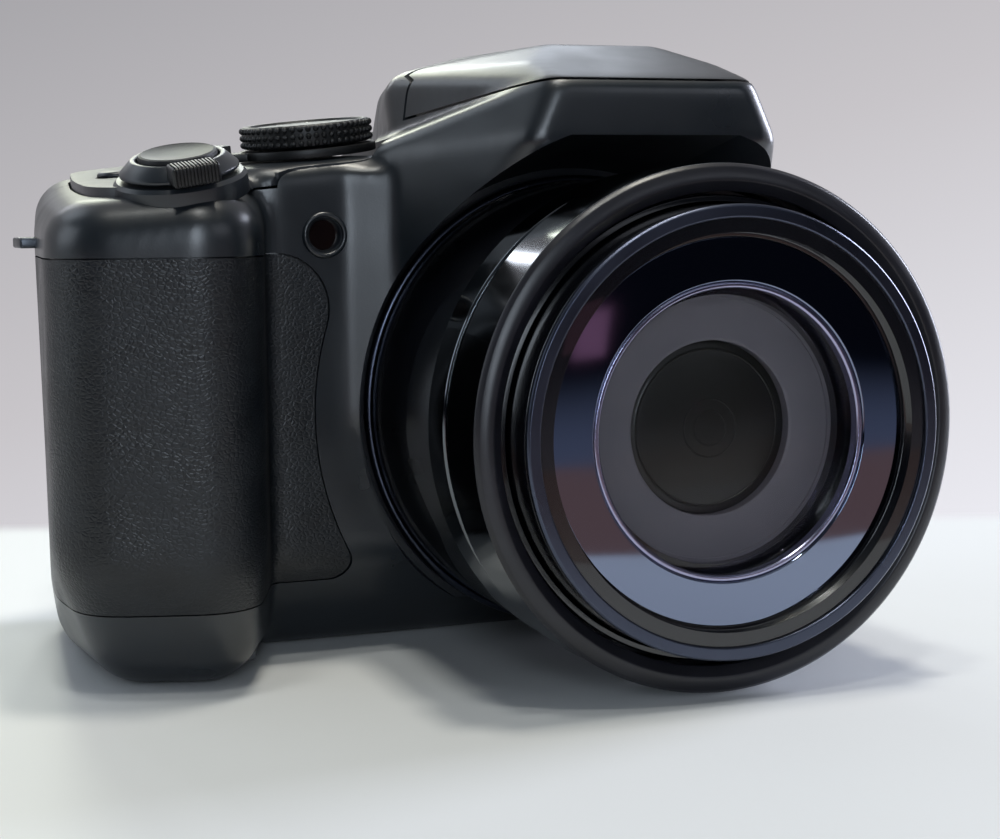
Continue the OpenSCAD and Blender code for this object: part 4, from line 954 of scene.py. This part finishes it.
def makeFrontStage():
    s = lensSizes
    rim, thread, mouth = s["rim"], s["thread"], s["threadBottom"]
    glass, edge, cell, wall, ledge = s["glass"], s["lensEdge"], s["cell"], s["stage"], s["ledge"]
    name, nameBack = s["nameRing"], s["nameBack"]
    lip, groove = rim - 1.2, rim - 0.6
    outline = [(wall - 2, s["stageBack"]), (wall, s["stageBack"]), (wall, lip), (wall - 0.25, lip),
               (wall - 0.25, groove), (wall - 2, groove)]
    outline += threadForm(thread, mouth, s["threadTop"], 4)
    outline += [(name + 0.1, mouth), (name + 0.1, nameBack), (edge + 0.1, nameBack), (edge + 0.1, cell),
                (glass - 1, cell), (glass - 1, ledge), (wall - 2, ledge)]
    lensPiece("frontTube", outline, "front_stage", "barrel_gloss", "front_barrel", edge=0.05)
    outline = [(wall - 0.25, lip + 0.1), (wall, lip + 0.1), (wall, rim - 0.3), (wall - 0.3, rim),
               (wall - 1.7, rim), (wall - 1.9, rim - 0.2), (wall - 1.9, groove), (wall - 0.25, groove)]
    lensPiece("frontRim", outline, "front_stage", "barrel_gloss", edge=0.08, mat=slateRim)
    bezel = glass + s["bezel"]
    outline = [(bezel, nameBack), (name, nameBack), (name, mouth), (bezel + 0.2, mouth), (bezel, mouth - 0.2)]
    lensPiece("nameRing", outline, "front_stage", "name_gloss", "name_ring", edge=0.06)
    skirt, side = s["lensRim"] + 0.15, bezel - 0.05
    outline = [(glass, skirt), (edge, skirt), (edge, nameBack), (side, nameBack), (side, mouth - 0.25),
               (side - 0.2, mouth - 0.1), (glass + 0.25, mouth - 0.1), (glass, mouth - 0.35)]
    lensPiece("glassBezel", outline, "front_stage", "name_gloss", edge=0.06, mat=bezelAlloy)
    outline = [(0, cell), (edge - 0.2, cell), (edge, cell + 0.2)] + domed(edge, s["lensRim"], mouth - 0.3, 24)
    front = placed(turned("frontGlass", outline, 160), lensFrame)
    settled(front, "front_stage", "front_glass", "front_lens")
    lip, pupil, deep = glass - 1.5, s["innerLens"] + 0.4, ledge - s["baffleDepth"]
    outline = [(lip, ledge), (lip, ledge - 0.4), (pupil + 0.5, deep + 0.1), (pupil, deep - 0.1),
               (pupil, deep - 3), (pupil + 1.6, deep - 3), (pupil + 1.6, ledge - 1.6),
               (wall - 4, ledge - 1.6), (wall - 4, ledge)]
    lensPiece("lensBaffle", outline, "front_stage", "baffle_grey", "baffle_ring", edge=0.05)
    dome = domed(pupil - 0.1, deep - 1.6, deep - 0.3, 30)
    for radius in (11.2, 4.1, 2.6):  # the faint circles that show inside the lens
        i = min(range(len(dome)), key=lambda k: abs(dome[k][0] - radius))
        r, h = dome[i]
        dome[i:i + 1] = [(r + 0.14, h), (r + 0.07, h + 0.07), (r - 0.07, h + 0.07), (r - 0.14, h + 0.01)]
    eye = turned("innerLens", [(0, deep - 3), (pupil - 0.1, deep - 3)] + dome, 128)
    settled(placed(eye, lensFrame), "front_stage", "inner_glass", "inner_lens")


makeLens()
makeFrontStage()
print("lens turned")


# Controls on the top

def ringOf(piece, count, reach, height):  # copies of a small form round the Z axis, joined
    edit(piece)
    bpy.ops.transform.translate(value=(reach * mm, 0, height * mm))
    bpy.ops.mesh.spin(steps=count, dupli=True, angle=2 * math.pi, axis=(0, 0, 1))
    merged()
    return done()


def bead(radius):
    bpy.ops.mesh.primitive_uv_sphere_add(segments=8, ring_count=6, radius=radius * mm)
    return bpy.context.object


def makeShutter():
    c = topControls
    spot = shutterSpot()
    top, button = c["buttonTop"], c["button"]
    outline = [(0, c["buttonLow"]), (button, c["buttonLow"]), (button, top - 0.45),
               (button - 0.15, top - 0.12), (button - 0.5, top), (button - 0.9, top - 0.12),
               (button * 0.5, top - 0.4), (0, top - 0.5)]
    cap = placed(turned("shutterButton", outline, 96), spot)
    settled(cap, "shutter_button", "button_grey", "shutter_button")
    lever, low, rise = c["lever"], c["leverLow"], c["leverTop"]
    inside = button + 0.3
    outline = [(inside, low), (lever - 0.5, low), (lever - 0.5, low + 0.25), (lever, low + 0.25),
               (lever, low + 0.7), (inside + 0.75, rise), (inside + 0.2, rise), (inside, rise - 0.2)]
    cone = softEdges(ringed("leverCone", outline), 0.2, 3, 25)
    settled(placed(cone, spot), "zoom_lever", "panel_plastic", "zoom_lever")
    half, front, back, height = c["tab"] / 2, -c["tabReach"], 1.8 - lever, c["tabTop"]
    tab = blockBetween("leverTab", (-half, front, low + 0.2), (half, back, height))
    softEdges(tab, 0.6, 4)
    for i in range(1, c["ribs"]):
        x = i * c["tab"] / c["ribs"] - half
        left, right = x - c["groove"], x + c["groove"]
        groove = blockBetween("ribGroove", (left, front - 1, low), (right, front + 0.3, 6))
        over = blockBetween("ribGroove", (left, front - 1, height - 0.28), (right, back + 1, 6))
        joinedBy(groove, over, "UNION")
        joinedBy(tab, groove, "DIFFERENCE")
        discard(groove, over)
    settled(placed(tab, spot), "zoom_lever", "control_black")


def makeDial():
    c = topControls
    spot = panelFrame(bodySizes["dialX"], bodySizes["dialY"])
    low, top, rim = c["dialLow"], c["dialTop"], c["dial"] - 0.35
    face = top - 0.35
    outline = [(0, low), (rim - 0.3, low), (rim, low + 0.2), (rim, top - 0.3), (rim - 0.3, top),
               (rim - 1.1, top), (rim - 1.3, face), (0, face)]
    core = softEdges(turned("modeDial", outline), 0.08, 2, 25)
    rows = [ringOf(bead(c["bead"]), c["beads"], rim - 0.12, low + (top - low) * share)
            for share in (0.18, 0.5, 0.82)]
    pick(core, *rows)
    bpy.ops.object.join()
    settled(placed(core, spot), "mode_dial", "control_black", "mode_dial")
    tick = blockBetween("dialTicks", (-0.7, -0.14, 0), (0.7, 0.14, 0.03))
    ticks = ringOf(tick, c["ticks"], rim - 2.6, face)
    settled(placed(ticks, spot), "mode_dial", "control_black", mat=whiteInk)
    reach, under, over = c["powerReach"], c["powerLow"], c["powerTop"]
    disc = cylinder("powerLever", c["power"], under, over, 128)
    for end, height in ((-8, over), (3 - reach, c["knob"])):  # the tab, and the knob at its end
        block = blockBetween("powerTab", (-reach, -2.4, under), (end, 2.4, height))
        joinedBy(disc, block, "UNION")
        discard(block)
    softEdges(disc, 0.22, 2)
    settled(placed(disc, spot), "power_lever", "control_black", "power_lever")


def keyCap(node):  # a round key with a soft rim and a dished face, from its solid's place and reach
    low, high, middle = boxOf(node)
    radius, reach = (high.x - low.x) / 2, (high.y - low.y) / 2
    face = reach - 0.15
    outline = [(0, -reach), (radius, -reach), (radius, reach - 0.45), (radius - 0.12, reach - 0.18),
               (radius - 0.4, reach), (radius * 0.55, face), (0, face)]
    cap = turned(node.replace("_", "-"), outline, 72)
    settled(placed(cap, at(middle, rearward)), node, "control_black", node)


makeShutter()
makeDial()
for key in rearKeys:
    keyCap(key)
print("controls made")


# Smaller pieces: a copy of the solid with its edges eased

def dressed(node, body, edge):
    solid = frame["nodes"][node]
    piece = copyOf(solid, node.replace("_", "-"))
    piece.parent = None
    for key in list(piece.keys()):
        del piece[key]
    edit(piece)
    bpy.ops.mesh.remove_doubles(threshold=1e-6)
    bpy.ops.mesh.dissolve_limited(angle_limit=math.radians(0.5))
    done()
    softEdges(piece, edge, 2, 30)
    slot = next(p["material_slot"] for p in frame["record"]["subparts"] if p["node"] == node)
    settled(piece, body, slot, node, mat=darkSteel if node == "strap_lugs" else None)


def makeLampBead():  # the raised ring round the lamp window
    low, high, middle = boxOf("lamp_window")
    rim, front = (high.x - low.x) / 2 + 0.3, bodySizes["front"]
    outline = [(rim, front - 0.6), (rim + 1, front - 0.6), (rim + 0.9, front + 0.3), (rim + 0.5, front + 0.6),
               (rim + 0.1, front + 0.4)]
    ring = softEdges(ringed("lampBead", outline, 64), 0.2, 3, 20)
    settled(placed(ring, at((middle.x, 0, middle.z), forward)), "camera_body", "body_plastic")


def makeRecordDot():  # painted on the record button's slanted top
    spot, radius = topControls["keys"][0], topControls["redDot"]
    low, high = boxOf("record_button")[:2]
    tilt = math.acos(panelFrame(*spot).col[2].z)
    top = (high.z - panelHeight(*spot) - (high.x - low.x) / 2 * math.sin(tilt)) / math.cos(tilt)
    outline = [(0, top - 0.1), (radius, top - 0.1), (radius, top + 0.02), (0, top + 0.04)]
    dot = placed(turned("recordDot", outline, 32), panelFrame(*spot))
    settled(dot, "record_button", "control_black", mat=redInk)


easedEdges = {  # mm, by body
    "camera_body": {"base_cover": 0.25, "thumb_pad": 0.4, "tripod_bush": 0.12, "strap_lugs": 0.3,
                    "eyecup": 0.7, "display_glass": 0.25, "base_screws": 0.12, "eyepiece_lens": 0.2},
    "flash_head": {"flash_lamp": 0.2},
}
ownBodies = {"record_button": 0.2, "function_button": 0.2, "thumb_dial": 0.12, "flash_button": 0.25,
             "battery_door": 0.2, "door_latch": 0.2, "terminal_door": 0.25, "dioptre_dial": 0.15}
easedEdges.update({node: {node: edge} for node, edge in ownBodies.items()})
for body, edges in easedEdges.items():
    for node, edge in edges.items():
        dressed(node, body, edge)
makeLampBead()
makeRecordDot()
print("small pieces eased")
